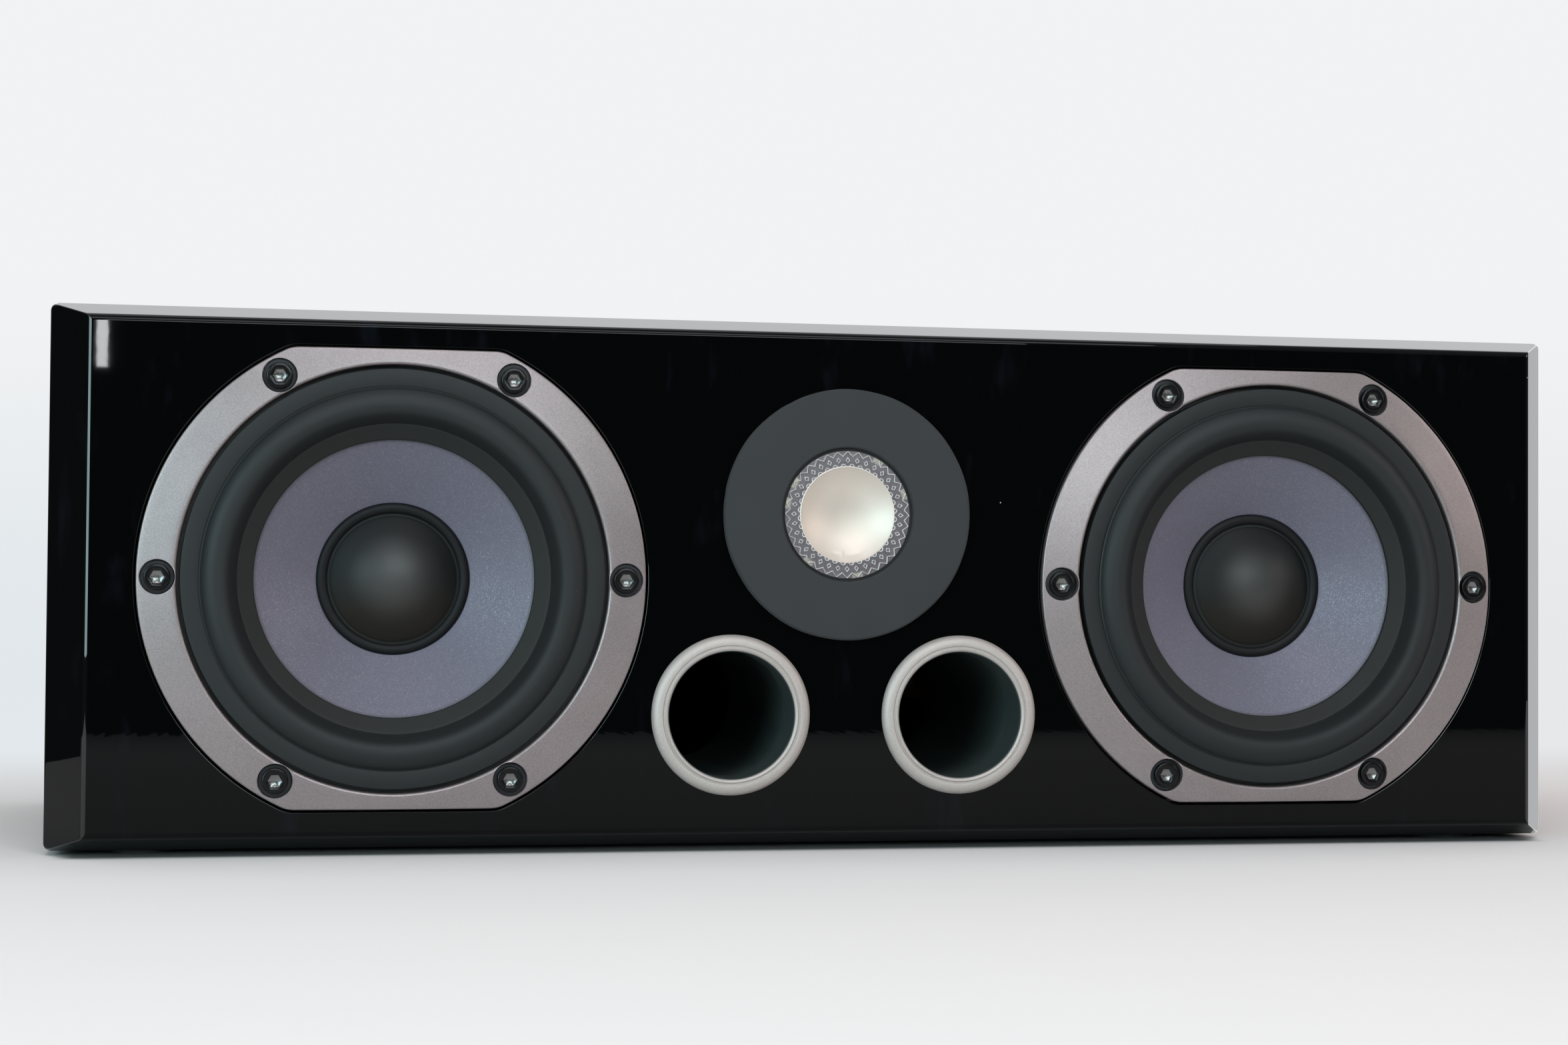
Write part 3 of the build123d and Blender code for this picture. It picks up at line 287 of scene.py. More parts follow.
class Finish:
    """A material grown from expressions around one Principled shader."""

    def __init__(self, name, tree=None):
        if tree is None:
            self.material = bpy.data.materials.new(name)
            self.material.use_nodes = True
            tree = self.material.node_tree
            self.shader = tree.nodes["Principled BSDF"]
        self.tree = tree
        self._place = None

    def add(self, kind, settings=None, sockets=None):
        """Add a node: its settings first, then the values or links of its sockets."""
        node = self.tree.nodes.new(kind)
        for key, setting in (settings or {}).items():
            setattr(node, key, setting)
        self.feed(node, sockets or {})
        return node

    def feed(self, node, sockets):
        """Set or link a node's sockets."""
        for key, value in sockets.items():
            socket = node.inputs[key]
            if isinstance(value, Value):
                value = value.socket
            if isinstance(value, bpy.types.NodeSocket):
                self.tree.links.new(value, socket)
            elif socket.type == "RGBA" and len(value) == 3:
                socket.default_value = (*value, 1.0)
            else:
                socket.default_value = value

    def value(self, node, output=0):
        """A node's output as a number for expressions."""
        return Value(self, node.outputs[output])

    def math(self, operation, *terms):
        return self.value(self.add("ShaderNodeMath", {"operation": operation}, dict(enumerate(terms))))

    def place(self):
        """Place on the piece, in metres, at rest."""
        if self._place is None:
            self._place = self.add("ShaderNodeTexCoord").outputs["Object"]
        return self._place

    def split(self, vector):
        """The three parts of a vector as numbers."""
        parts = self.add("ShaderNodeSeparateXYZ", None, {0: vector})
        return tuple(self.value(parts, k) for k in range(3))

    def noise(self, size, detail=2.0, roughness=0.5, along=None):
        """Soft noise from 0 to 1, with features of a size in millimetres."""
        where = self.place()
        if along:
            stretch = self.add("ShaderNodeVectorMath", {"operation": "MULTIPLY"}, {0: where, 1: along})
            where = stretch.outputs[0]
        sockets = {"Vector": where, "Scale": 1 / (size * MM), "Detail": detail, "Roughness": roughness}
        return self.value(self.add("ShaderNodeTexNoise", None, sockets))

    def cells(self, size):
        """Grains of a size in millimetres: distance from the middle, and a random number for each."""
        grains = self.add("ShaderNodeTexVoronoi", None, {"Vector": self.place(), "Scale": 1 / (size * MM)})
        split = self.add("ShaderNodeSeparateColor", None, {0: grains.outputs["Color"]})
        return self.value(grains, "Distance"), self.value(split, 0), self.value(split, 1)

    def specks(self, size, amount, spread):
        """Mask of sparse specks; amount is the share of cells that hold one, spread its largest reach."""
        distance, chance, girth = self.cells(size)
        return (chance < amount) * (distance < girth * spread)

    def step(self, value, low, high):
        """Smooth step from 0 to 1 as a value passes from low to high."""
        settings = {"interpolation_type": "SMOOTHSTEP"}
        sockets = {"Value": value, "From Min": low, "From Max": high}
        return self.value(self.add("ShaderNodeMapRange", settings, sockets))

    def mix(self, factor, first, second):
        """Colour between two colours."""
        node = self.add("ShaderNodeMix", {"data_type": "RGBA"}, {0: factor, 6: first, 7: second})
        return node.outputs[2]

    def radius(self, x, z, mirrored=False):
        """Distance in millimetres from an axis through the face; mirrored, from the nearer of two."""
        across, _, up = self.split(self.place())
        if mirrored:
            across = abs(across)
        across, up = across - x, up - z
        return self.math("SQRT", across * across + up * up) / MM

    def bump(self, height, depth):
        """Normal from a height that ranges over 1; depth in millimetres."""
        return self.add("ShaderNodeBump", None, {"Height": height, "Distance": depth * MM}).outputs[0]

    def surface(self, **sockets):
        """Set the shader's sockets; underscores stand for spaces."""
        self.feed(self.shader, {key.replace("_", " "): value for key, value in sockets.items()})
        return self.material


def shaded(tint, factor):
    """A colour made darker or lighter."""
    return tuple(min(c * factor, 1.0) for c in tint)


# ---------------------------------------------------------------- mesh building

class Skin:
    """A mesh grown from loops of points; flat faces keep a flat normal beside rounded edges."""

    SMOOTH_ANGLE = radians(42)
    INSIDE_ONLY = 1
    MERGE_BELOW = 1e-9

    def __init__(self):
        self.mesh = bmesh.new()
        self.flat = set()

    def loop(self, points):
        """New corners for a loop of points."""
        return [self.mesh.verts.new(point) for point in points]

    def bridge(self, first, second):
        """Faces between two closed loops."""
        for i in range(len(first)):
            self.mesh.faces.new((first[i - 1], first[i], second[i], second[i - 1]))

    def chain(self, loops):
        """Faces between each loop and the next."""
        for first, second in zip(loops, loops[1:]):
            self.bridge(first, second)

    def close(self, loop, point):
        """Fan of faces from a loop to a point."""
        tip = self.mesh.verts.new(point)
        for i in range(len(loop)):
            self.mesh.faces.new((loop[i - 1], loop[i], tip))

    def fill(self, outline, holes=(), inner=(), flat=False):
        """Fill between an outline and holes, seen from the front, through any inner points."""
        corners = [v for part in (outline, *holes) for v in part]
        loops, start = [], 0
        for part in (outline, *holes):
            loops.append(list(range(start, start + len(part))))
            start += len(part)
        corners += self.loop(inner)
        flat_points = [Vector((v.co.x, v.co.z)) for v in corners]
        _, _, triangles, sources, _, owners = delaunay_2d_cdt(
            flat_points, [], loops, self.INSIDE_ONLY, self.MERGE_BELOW
        )
        for triangle, owner in zip(triangles, owners):
            if owner == [0]:
                face = self.mesh.faces.new([corners[sources[i][0]] for i in triangle])
                if flat:
                    self.flat.add(face)

    def corner_normal(self, face, vertex):
        """Normal at a corner: near faces are averaged, and a flat one among them rules."""
        if face in self.flat:
            return face.normal
        total = Vector()
        for other in vertex.link_faces:
            if other.normal.dot(face.normal) > cos(self.SMOOTH_ANGLE):
                if other in self.flat:
                    return other.normal
                total += other.normal * other.calc_area()
        return total.normalized() if total.length > 0 else face.normal

    def piece(self, name):
        """Turn the mesh into an object with smooth shading."""
        bmesh.ops.recalc_face_normals(self.mesh, faces=self.mesh.faces)
        self.mesh.normal_update()
        self.mesh.faces.ensure_lookup_table()
        normals = None
        if self.flat:
            corners = ((face, loop.vert) for face in self.mesh.faces for loop in face.loops)
            normals = [self.corner_normal(face, vertex) for face, vertex in corners]
        data = bpy.data.meshes.new(name)
        self.mesh.to_mesh(data)
        self.mesh.free()
        data.shade_smooth()
        if normals:
            data.normals_split_custom_set(normals)
        else:
            data.set_sharp_from_angle(angle=self.SMOOTH_ANGLE)
        thing = bpy.data.objects.new(name, data)
        bpy.context.scene.collection.objects.link(thing)
        return thing


def spot(centre, radius, angle, depth):
    """Point at a radius in millimetres and an angle about an axis through the face."""
    x, z = centre
    return Vector((x + radius * MM * cos(angle), FACE_Y + depth * MM, z + radius * MM * sin(angle)))


def circle(centre, radius, depth, count):
    """Points round an axis; radius is a number or a function of the angle."""
    angles = [2 * pi * i / count for i in range(count)]
    return [spot(centre, radius(a) if callable(radius) else radius, a, depth) for a in angles]


def bow(start, via, end, steps):
    """Points on the arc through three (radius, depth) points, without its start."""
    (ax, ay), (bx, by), (cx, cy) = start, via, end
    d = 2 * (ax * (by - cy) + bx * (cy - ay) + cx * (ay - by))
    a2, b2, c2 = ax * ax + ay * ay, bx * bx + by * by, cx * cx + cy * cy
    ux = (a2 * (by - cy) + b2 * (cy - ay) + c2 * (ay - by)) / d
    uy = (a2 * (cx - bx) + b2 * (ax - cx) + c2 * (bx - ax)) / d
    first, last = atan2(ay - uy, ax - ux), atan2(cy - uy, cx - ux)
    by_way = atan2(by - uy, bx - ux)
    turn = (last - first) % (2 * pi)
    if (by_way - first) % (2 * pi) > turn:
        turn -= 2 * pi
    reach = hypot(ax - ux, ay - uy)
    angles = [first + turn * (i + 1) / steps for i in range(steps)]
    return [(ux + reach * cos(a), uy + reach * sin(a)) for a in angles]


def softened(corners, steps):
    """Closed profile from (radius, depth, rounding) corners, each rounded by an arc."""
    points = []
    for i, (x, y, rounding) in enumerate(corners):
        here = Vector((x, y))
        if rounding <= 0:
            points.append((x, y))
            continue
        back = (Vector(corners[i - 1][:2]) - here).normalized()
        ahead = (Vector(corners[(i + 1) % len(corners)][:2]) - here).normalized()
        half = acos(max(-1.0, min(1.0, back.dot(ahead)))) / 2
        cut = rounding / tan(half)
        centre = here + (back + ahead).normalized() * rounding / sin(half)
        first, last = here + back * cut - centre, here + ahead * cut - centre
        for k in range(steps + 1):
            arm = first.slerp(last, k / steps).normalized() * rounding
            points.append(tuple(centre + arm))
    return points


def turned(name, centre, profile, count):
    """Turn a closed profile of (radius, depth) points; it may also start and end on the axis."""
    skin = Skin()
    loops = [skin.loop(circle(centre, r, d, count)) for r, d in profile if r > 0]
    skin.chain(loops)
    if profile[0][0] > 0:
        skin.bridge(loops[-1], loops[0])
    else:
        skin.close(loops[0], spot(centre, 0, 0, profile[0][1]))
        skin.close(loops[-1], spot(centre, 0, 0, profile[-1][1]))
    return skin.piece(name)


def dome_depth(radius, edge, depth, height):
    """Depth of a shallow dome at a radius."""
    ball = (edge ** 2 + height ** 2) / (2 * height)
    return depth - height + ball - sqrt(ball ** 2 - radius ** 2)


def dress(thing, material, body, slot, *nodes):
    """Give a piece its finish and its body, and let it stand for CAD nodes."""
    thing.data.materials.clear()
    thing.data.materials.append(material)
    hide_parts(*nodes)
    if body:
        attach(thing, body)
    return thing


def refinish(material, *nodes):
    """Give CAD nodes that stay as they are a better finish."""
    for node in nodes:
        for slot in frame["nodes"][node].material_slots:
            slot.material = material


# ---------------------------------------------------------------- cabinet
# The operators' own sizes are in millimetres, and those of the stage in metres.

def lacquer_finish(settings):
    """Polished black lacquer with faint wiping marks, a few dust specks, and smudges tinted bluish as a
    painted sheen.
    """
    lacquer = Finish("cabinet_lacquer")
    wipes = lacquer.noise(7.0, 3.0, 0.6, along=(0.25, 1.0, 1.6))
    haze = lacquer.noise(45.0, 2.0)
    dust = lacquer.specks(5.5, 0.05, 0.05)
    peel = lacquer.noise(5.0, 1.0)
    # The smudges are real marks; their bluish tint is a painted sheen.
    smudge_sheen = lacquer.step(lacquer.noise(15.0, 3.0, 0.6, along=(1.6, 1.0, 0.5)), 0.58, 0.80)
    body = lacquer.mix(smudge_sheen, settings.lacquer, settings.smudge_sheen)
    lean = abs(lacquer.split(lacquer.add("ShaderNodeNewGeometry").outputs["Normal"])[0])
    edge = lacquer.step(lean, 0.05, 0.18) * (1 - lacquer.step(lean, 0.62, 0.76))
    return lacquer.surface(
        Base_Color=lacquer.mix(dust, body, settings.dust),
        Coat_Weight=edge,
        Coat_Roughness=0.01,
        Roughness=settings.gloss + wipes * haze * 0.03 + dust * 0.5,
        Normal=lacquer.bump(peel, 0.0010),
        Specular_IOR_Level=0.145,
    )


def ring_outline(half_w, half_h, soft):
    """Radius by angle of a round ring with flats above and below and softened corners."""
    least = 1e-6

    def reach(angle):
        flat = half_h / max(abs(sin(angle)), least)
        near = max(soft - abs(half_w - flat), 0.0) / soft
        return min(half_w, flat) - near * near * soft / 4
    return reach


def rectangle(half_w, half_h, rounding, depth, steps=6):
    """Rounded rectangle about the middle of the face."""
    points = []
    for i, (sx, sz) in enumerate(((1, 1), (-1, 1), (-1, -1), (1, -1))):
        x, z = sx * (half_w - rounding), sz * (half_h - rounding)
        for k in range(steps + 1):
            a = (i + k / steps) * pi / 2
            points.append(Vector((
                (x + rounding * cos(a)) * MM, FACE_Y + depth * MM, WOOFER_Z + (z + rounding * sin(a)) * MM
            )))
    return points


class SPEAKER_OT_cabinet(bpy.types.Operator):
    """Lacquer the cabinet and give the front board its softly rounded edges"""
    bl_idname = "speaker.cabinet"
    bl_label = "Cabinet"

    QUARTER_STEPS = 16
    FACE_STEPS = 14
    FACE_CORNER = 0.3
    ROUNDED = ((1.0, 0.0), (0.5, 0.13), (0.13, 0.5), (0.0, 1.0))
    BASKET_ROOM = 1.4
    TUBE_ROOM = 0.15
    FLANGE_ROOM = 0.3
    MAGNET_ROOM = 1.0
    WOOFER_COUNT = 720
    TWEETER_COUNT = 192
    PORT_COUNT = 128

    def reach(self, depth, bevel, s):
        """How far the outside stands out from the sharp edge of the face at a depth."""
        slope = bevel / s.bevel_depth
        lean = atan2(s.bevel_depth, bevel)
        inset = s.face_edge * tan(lean / 2)
        if depth < s.face_edge * (1 - cos(lean)):
            return sqrt(s.face_edge ** 2 - (s.face_edge - depth) ** 2) - inset
        turn = pi / 2 - lean
        past = s.edge * tan(turn / 2)
        if depth < s.bevel_depth - past * cos(turn):
            return depth * slope
        left = max(0.0, s.bevel_depth + past - depth)
        return bevel - s.edge + sqrt(s.edge ** 2 - left ** 2)

    def outside(self, skin, s):
        """Loops from the face over the bevel to the back of the board."""
        half_w = half_width("front_baffle") - s.bevel_x
        half_h = half_height("front_baffle") - s.bevel_z
        back = depth_of("front_baffle", 1)
        turns = [pi / 2 * k / self.QUARTER_STEPS for k in range(self.FACE_STEPS)]
        depths = [s.face_edge * (1 - cos(turn)) for turn in turns]
        depths += [s.bevel_depth * k for k in (0.2, 0.5, 0.8)]
        depths += [s.bevel_depth + s.edge * 0.1 * k for k in range(-6, 5)] + [back]
        loops = []
        for depth in depths:
            blunt = max(0.0, min(1.0, (depth - s.bevel_depth) / s.edge + 1))
            rounding = self.FACE_CORNER + (s.edge - self.FACE_CORNER) * blunt
            w = half_w + self.reach(depth, s.bevel_x, s)
            h = half_h + self.reach(depth, s.bevel_z, s)
            loops.append(skin.loop(rectangle(w, h, rounding, depth)))
        skin.chain(loops)
        return loops[0], loops[-1]

    def opening(self, skin, centre, steps, count):
        """Chain of loops through the board; steps are (radius or outline, depth)."""
        loops = [skin.loop(circle(centre, radius, depth, count)) for radius, depth in steps]
        skin.chain(loops)
        return loops[0], loops[-1]

    def woofer_steps(self, side, soft, back, s):
        """Rounded edge, wall and floor of a woofer's rebate, and the hole for its basket."""
        ring = f"{side}_trim_ring"
        half_w, half_h = half_width(ring) + s.rebate_gap, half_height(ring) + s.rebate_gap
        steps = []
        for out, down in self.ROUNDED:
            widen = out * s.rebate_edge
            steps.append((ring_outline(half_w + widen, half_h + widen, soft), down * s.rebate_edge))
        hole = half_width(f"{side}_surround") + self.BASKET_ROOM
        return steps + [(steps[-1][0], s.rebate_depth), (hole, s.rebate_depth), (hole, back)]

    def execute(self, context):
        s = context.scene.speaker_cabinet
        soft = context.scene.speaker_woofer.ring_corner
        back = depth_of("front_baffle", 1)
        skin = Skin()
        edges = [self.outside(skin, s)]
        for side in SIDES:
            steps = self.woofer_steps(side, soft, back, s)
            edges.append(self.opening(skin, WOOFERS[side], steps, self.WOOFER_COUNT))
            tube = half_width(f"{side}_port_tube") + self.TUBE_ROOM
            edges.append(self.opening(skin, PORTS[side], [(tube, 0.0), (tube, back)], self.PORT_COUNT))
        rebate = half_width("tweeter_flange") + self.FLANGE_ROOM
        hole = half_width("tweeter_magnet") + self.MAGNET_ROOM
        steps = [(rebate, 0.0), (rebate, s.tweeter_rebate), (hole, s.tweeter_rebate), (hole, back)]
        edges.append(self.opening(skin, TWEETER, steps, self.TWEETER_COUNT))
        for outline, *holes in zip(*edges):
            skin.fill(outline, holes, flat=True)
        board = skin.piece("front_board")
        lacquer = lacquer_finish(s)
        dress(board, lacquer, "cabinet", "cabinet_lacquer", "front_baffle")
        refinish(lacquer, "top_panel", "bottom_panel", "left_side_panel", "right_side_panel", "rear_panel")
        return {"FINISHED"}


class SPEAKER_OT_feet(bpy.types.Operator):
    """Give the feet their rubber"""
    bl_idname = "speaker.feet"
    bl_label = "Feet"

    def execute(self, context):
        rubber = Finish("foot_rubber")
        grain = rubber.noise(0.4, 3.0)
        pale = rubber.mix(rubber.noise(5.0), (0.020, 0.020, 0.020), (0.034, 0.033, 0.032))
        rubber.surface(Base_Color=pale, Roughness=0.7 + grain * 0.2, Normal=rubber.bump(grain, 0.05))
        refinish(rubber.material, "feet")
        return {"FINISHED"}


# ---------------------------------------------------------------- woofers

def ring_finish(settings):
    """Silver metallic paint: fine flakes that vary in brightness and tilt."""
    paint = Finish("ring_silver")
    _, chance, tilt = paint.cells(0.16)
    cloud = paint.noise(16.0, 2.0)
    dull = shaded(settings.ring_paint, 0.72)
    bright = shaded(settings.ring_paint, 1.20)
    return paint.surface(
        Base_Color=paint.mix(chance * 0.7 + cloud * 0.3, dull, bright),
        Metallic=0.75,
        Roughness=0.33 + tilt * 0.08 + cloud * 0.04,
        Normal=paint.bump(tilt, 0.0016),
    )


class SPEAKER_OT_trim_rings(bpy.types.Operator):
    """Shape and paint the silver trim rings"""
    bl_idname = "speaker.trim_rings"
    bl_label = "Trim rings"

    COUNT = 720
    HOLE_COUNT = 96
    HOLE_EDGE = 0.06
    OUTER_EDGE = ((1.0, 0.0), (0.5, 0.10), (0.13, 0.45), (0.0, 1.0))
    LIP_STEPS = 6
    LIP_ROOM = 0.04
    LATTICE_ROWS = 8
    LATTICE_COUNT = 360
    EDGE_ROOM = 0.6
    HOLE_ROOM = 0.8

    def ring(self, side, s):
        """Sloping ring with a rolled lip, flats and counterbored screw holes."""
        node = f"{side}_trim_ring"
        centre = WOOFERS[side]
        half_w, half_h, seat = half_width(node), half_height(node), depth_of(node, 1)
        land = half_w - s.ring_bore
        lip_front = depth_of(node, 0)
        pitch = 2 * pi / s.screw_count

        def front(radius):
            """Depth of the sloping front."""
            return lip_front + (radius - s.ring_bore) * s.ring_rise / land

        def sunk(points, down):
            """Points laid on the sloping front, then moved down behind it."""
            x, z = centre
            depths = [front(hypot(p.x - x, p.z - z) / MM) + down for p in points]
            return [Vector((p.x, FACE_Y + depth * MM, p.z)) for p, depth in zip(points, depths)]

        def outline(inset):
            return ring_outline(half_w - inset, half_h - inset, s.ring_corner)

        skin = Skin()
        outer = []
        for inset, down in self.OUTER_EDGE:
            edge = circle(centre, outline(inset * s.ring_edge), 0, self.COUNT)
            outer.append(skin.loop(sunk(edge, down * s.ring_edge)))
        outer.append(skin.loop(circle(centre, outline(0.0), seat, self.COUNT)))
        skin.chain(outer)
        rim = s.counterbore + self.HOLE_EDGE

        def lip(angle):
            """Rounding of the inner lip, smaller where a counterbore comes close."""
            off = (angle + pitch / 2) % pitch - pitch / 2
            aside = s.screw_circle * sin(off)
            if abs(aside) >= rim:
                return s.ring_lip
            room = s.screw_circle * cos(off) - sqrt(rim ** 2 - aside ** 2) - s.ring_bore
            return min(s.ring_lip, room - self.LIP_ROOM)

        bore = []
        for k in range(self.LIP_STEPS + 1):
            turn = k / self.LIP_STEPS * pi / 2
            points = []
            for i in range(self.COUNT):
                a = 2 * pi * i / self.COUNT
                radius = s.ring_bore + lip(a) * (1 - sin(turn))
                depth = front(s.ring_bore + lip(a)) + lip(a) * (1 - cos(turn))
                points.append(spot(centre, radius, a, depth))
            bore.append(skin.loop(points))
        bore.append(skin.loop(circle(centre, s.ring_bore, seat, self.COUNT)))
        skin.chain(bore)
        rims, shanks, places = [], [], []
        floor = seat - s.floor
        for i in range(s.screw_count):
            at = spot(centre, s.screw_circle, pitch * i, 0)
            hole = (at.x, at.z)
            places.append(at)
            loops = []
            for widen, down in ((1.0, 0.0), (0.3, 0.3), (0.0, 1.0)):
                edge = circle(hole, s.counterbore + widen * self.HOLE_EDGE, 0, self.HOLE_COUNT)
                loops.append(skin.loop(sunk(edge, down * self.HOLE_EDGE)))
            for radius, depth in ((s.counterbore, floor), (s.shank_hole, floor), (s.shank_hole, seat)):
                loops.append(skin.loop(circle(hole, radius, depth, self.HOLE_COUNT)))
            skin.chain(loops)
            rims.append(loops[0])
            shanks.append(loops[-1])
        lattice = []
        for row in range(1, self.LATTICE_ROWS):
            radius = s.ring_bore + s.ring_lip + land * row / self.LATTICE_ROWS
            for k in range(self.LATTICE_COUNT):
                a = 2 * pi * (k + row % 2 / 2) / self.LATTICE_COUNT
                point = spot(centre, radius, a, front(radius))
                clear = min((point - at).xz.length for at in places) / MM
                inside = radius < outline(s.ring_edge)(a) - self.EDGE_ROOM
                if inside and clear > s.counterbore + self.HOLE_ROOM:
                    lattice.append(point)
        skin.fill(outer[0], [bore[0], *rims], lattice)
        skin.fill(outer[-1], [bore[-1], *shanks], flat=True)
        return skin.piece(f"{side}_ring")

    def execute(self, context):
        s = context.scene.speaker_woofer
        paint = ring_finish(s)
        for side in SIDES:
            dress(self.ring(side, s), paint, "cabinet", "ring_silver", f"{side}_trim_ring")
        return {"FINISHED"}


class SPEAKER_OT_screws(bpy.types.Operator):
    """Set the socket-head screws on their washers"""
    bl_idname = "speaker.screws"
    bl_label = "Screws and washers"

    COUNT = 48
    HEX_CORNER = 1.85
    SOCKET = 1.3
    SOCKET_FLOOR = 0.08
    SOCKET_CHAMFER = 0.16
    SOCKET_RIM = 2.02
    DRILL = 1.42
    DRILL_TIP = 0.45
    HEAD = 3.5
    HEAD_HEIGHT = 2.0
    HEAD_EDGE = ((0.45, 0.0), (0.20, 0.06), (0.05, 0.20), (0.0, 0.42))
    SHANK = 2.0
    POINT = 0.5
    WASHER_BORE = 2.25
    WASHER = 4.5

    def hexagon(self, centre, depth):
        """Hexagon with as many points as a circle."""
        def reach(angle):
            return self.HEX_CORNER * cos(pi / 6) / cos((angle % (pi / 3)) - pi / 6)
        return circle(centre, reach, depth, self.COUNT)

    def screw(self, skin, centre, top, end):
        """Head with a hexagon socket and a drilled bottom, then the shank."""
        socket, under = top + self.SOCKET, top + self.HEAD_HEIGHT
        loops = [
            skin.loop(circle(centre, self.DRILL, socket, self.COUNT)),
            skin.loop(self.hexagon(centre, socket - self.SOCKET_FLOOR)),
            skin.loop(self.hexagon(centre, top + self.SOCKET_CHAMFER)),
        ]
        outside = [(self.SOCKET_RIM, top)]
        outside += [(self.HEAD - inset, top + down) for inset, down in self.HEAD_EDGE]
        outside += [(self.HEAD, under), (self.SHANK, under)]
        outside += [(self.SHANK, end - self.POINT), (self.SHANK - self.POINT, end)]
        loops += [skin.loop(circle(centre, r, d, self.COUNT)) for r, d in outside]
        skin.chain(loops)
        skin.close(loops[0], spot(centre, 0, 0, socket + self.DRILL_TIP))
        skin.close(loops[-1], spot(centre, 0, 0, end))

    def execute(self, context):
        s = context.scene.speaker_woofer
        top, end = depth_of("woofer_screws", 0), depth_of("woofer_screws", 1)
        low, high = depth_of("woofer_washers", 0), depth_of("woofer_washers", 1)
        screws, washers = Skin(), Skin()
        inner, outer = self.WASHER_BORE, self.WASHER
        flat = softened([(inner, low, 0.1), (outer, low, 0.2), (outer, high, 0.1), (inner, high, 0.1)], 3)
        for side in SIDES:
            for i in range(s.screw_count):
                at = spot(WOOFERS[side], s.screw_circle, 2 * pi * i / s.screw_count, 0)
                self.screw(screws, (at.x, at.z), top, end)
                loops = [washers.loop(circle((at.x, at.z), r, d, self.COUNT)) for r, d in flat]
                washers.chain(loops)
                washers.bridge(loops[-1], loops[0])
        black = Finish("black_steel")
        wear = black.noise(0.5, 4.0, 0.65)
        shade = black.mix(wear, s.screw, shaded(s.screw, 2.2))
        level = black.split(black.place())[1]
        drilled = black.step(level, FACE_Y + (top + 1.0) * MM, FACE_Y + (top + 1.2) * MM)
        shade = black.mix(drilled, shade, (0.20, 0.20, 0.195))
        black.surface(
            Base_Color=shade,
            Metallic=0.8,
            Roughness=0.15 + wear * 0.14,
            Normal=black.bump(wear, 0.006),
        )
        dress(screws.piece("socket_screws"), black.material, "cabinet", "black_steel", "woofer_screws")
        plate = Finish("dark_steel")
        grain = plate.noise(0.3, 3.0)
        tint = plate.mix(plate.noise(2.5), s.washer, shaded(s.washer, 1.6))
        plate.surface(
            Base_Color=tint,
            Metallic=0.7,
            Roughness=0.36 + grain * 0.2,
            Normal=plate.bump(grain, 0.01),
        )
        dress(washers.piece("flat_washers"), plate.material, "cabinet", "dark_steel", "woofer_washers")
        return {"FINISHED"}


def follow_cone(thing, side, outer, inner):
    """Let a ring bend between the cabinet at its outer radius and the cone at its inner one."""
    centre = WOOFERS[side]
    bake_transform(thing, "cabinet", f"{side}_cone", spot(centre, outer, 0, 0), spot(centre, inner, 0, 0))
    weights = thing.data.attributes["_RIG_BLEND"]
    for vertex, weight in zip(thing.data.vertices, weights.data):
        radius = hypot(vertex.co.x - centre[0], vertex.co.z - centre[1]) / MM
        t = max(0.0, min(1.0, (outer - radius) / (outer - inner)))
        weight.value = t * t * (3 - 2 * t)


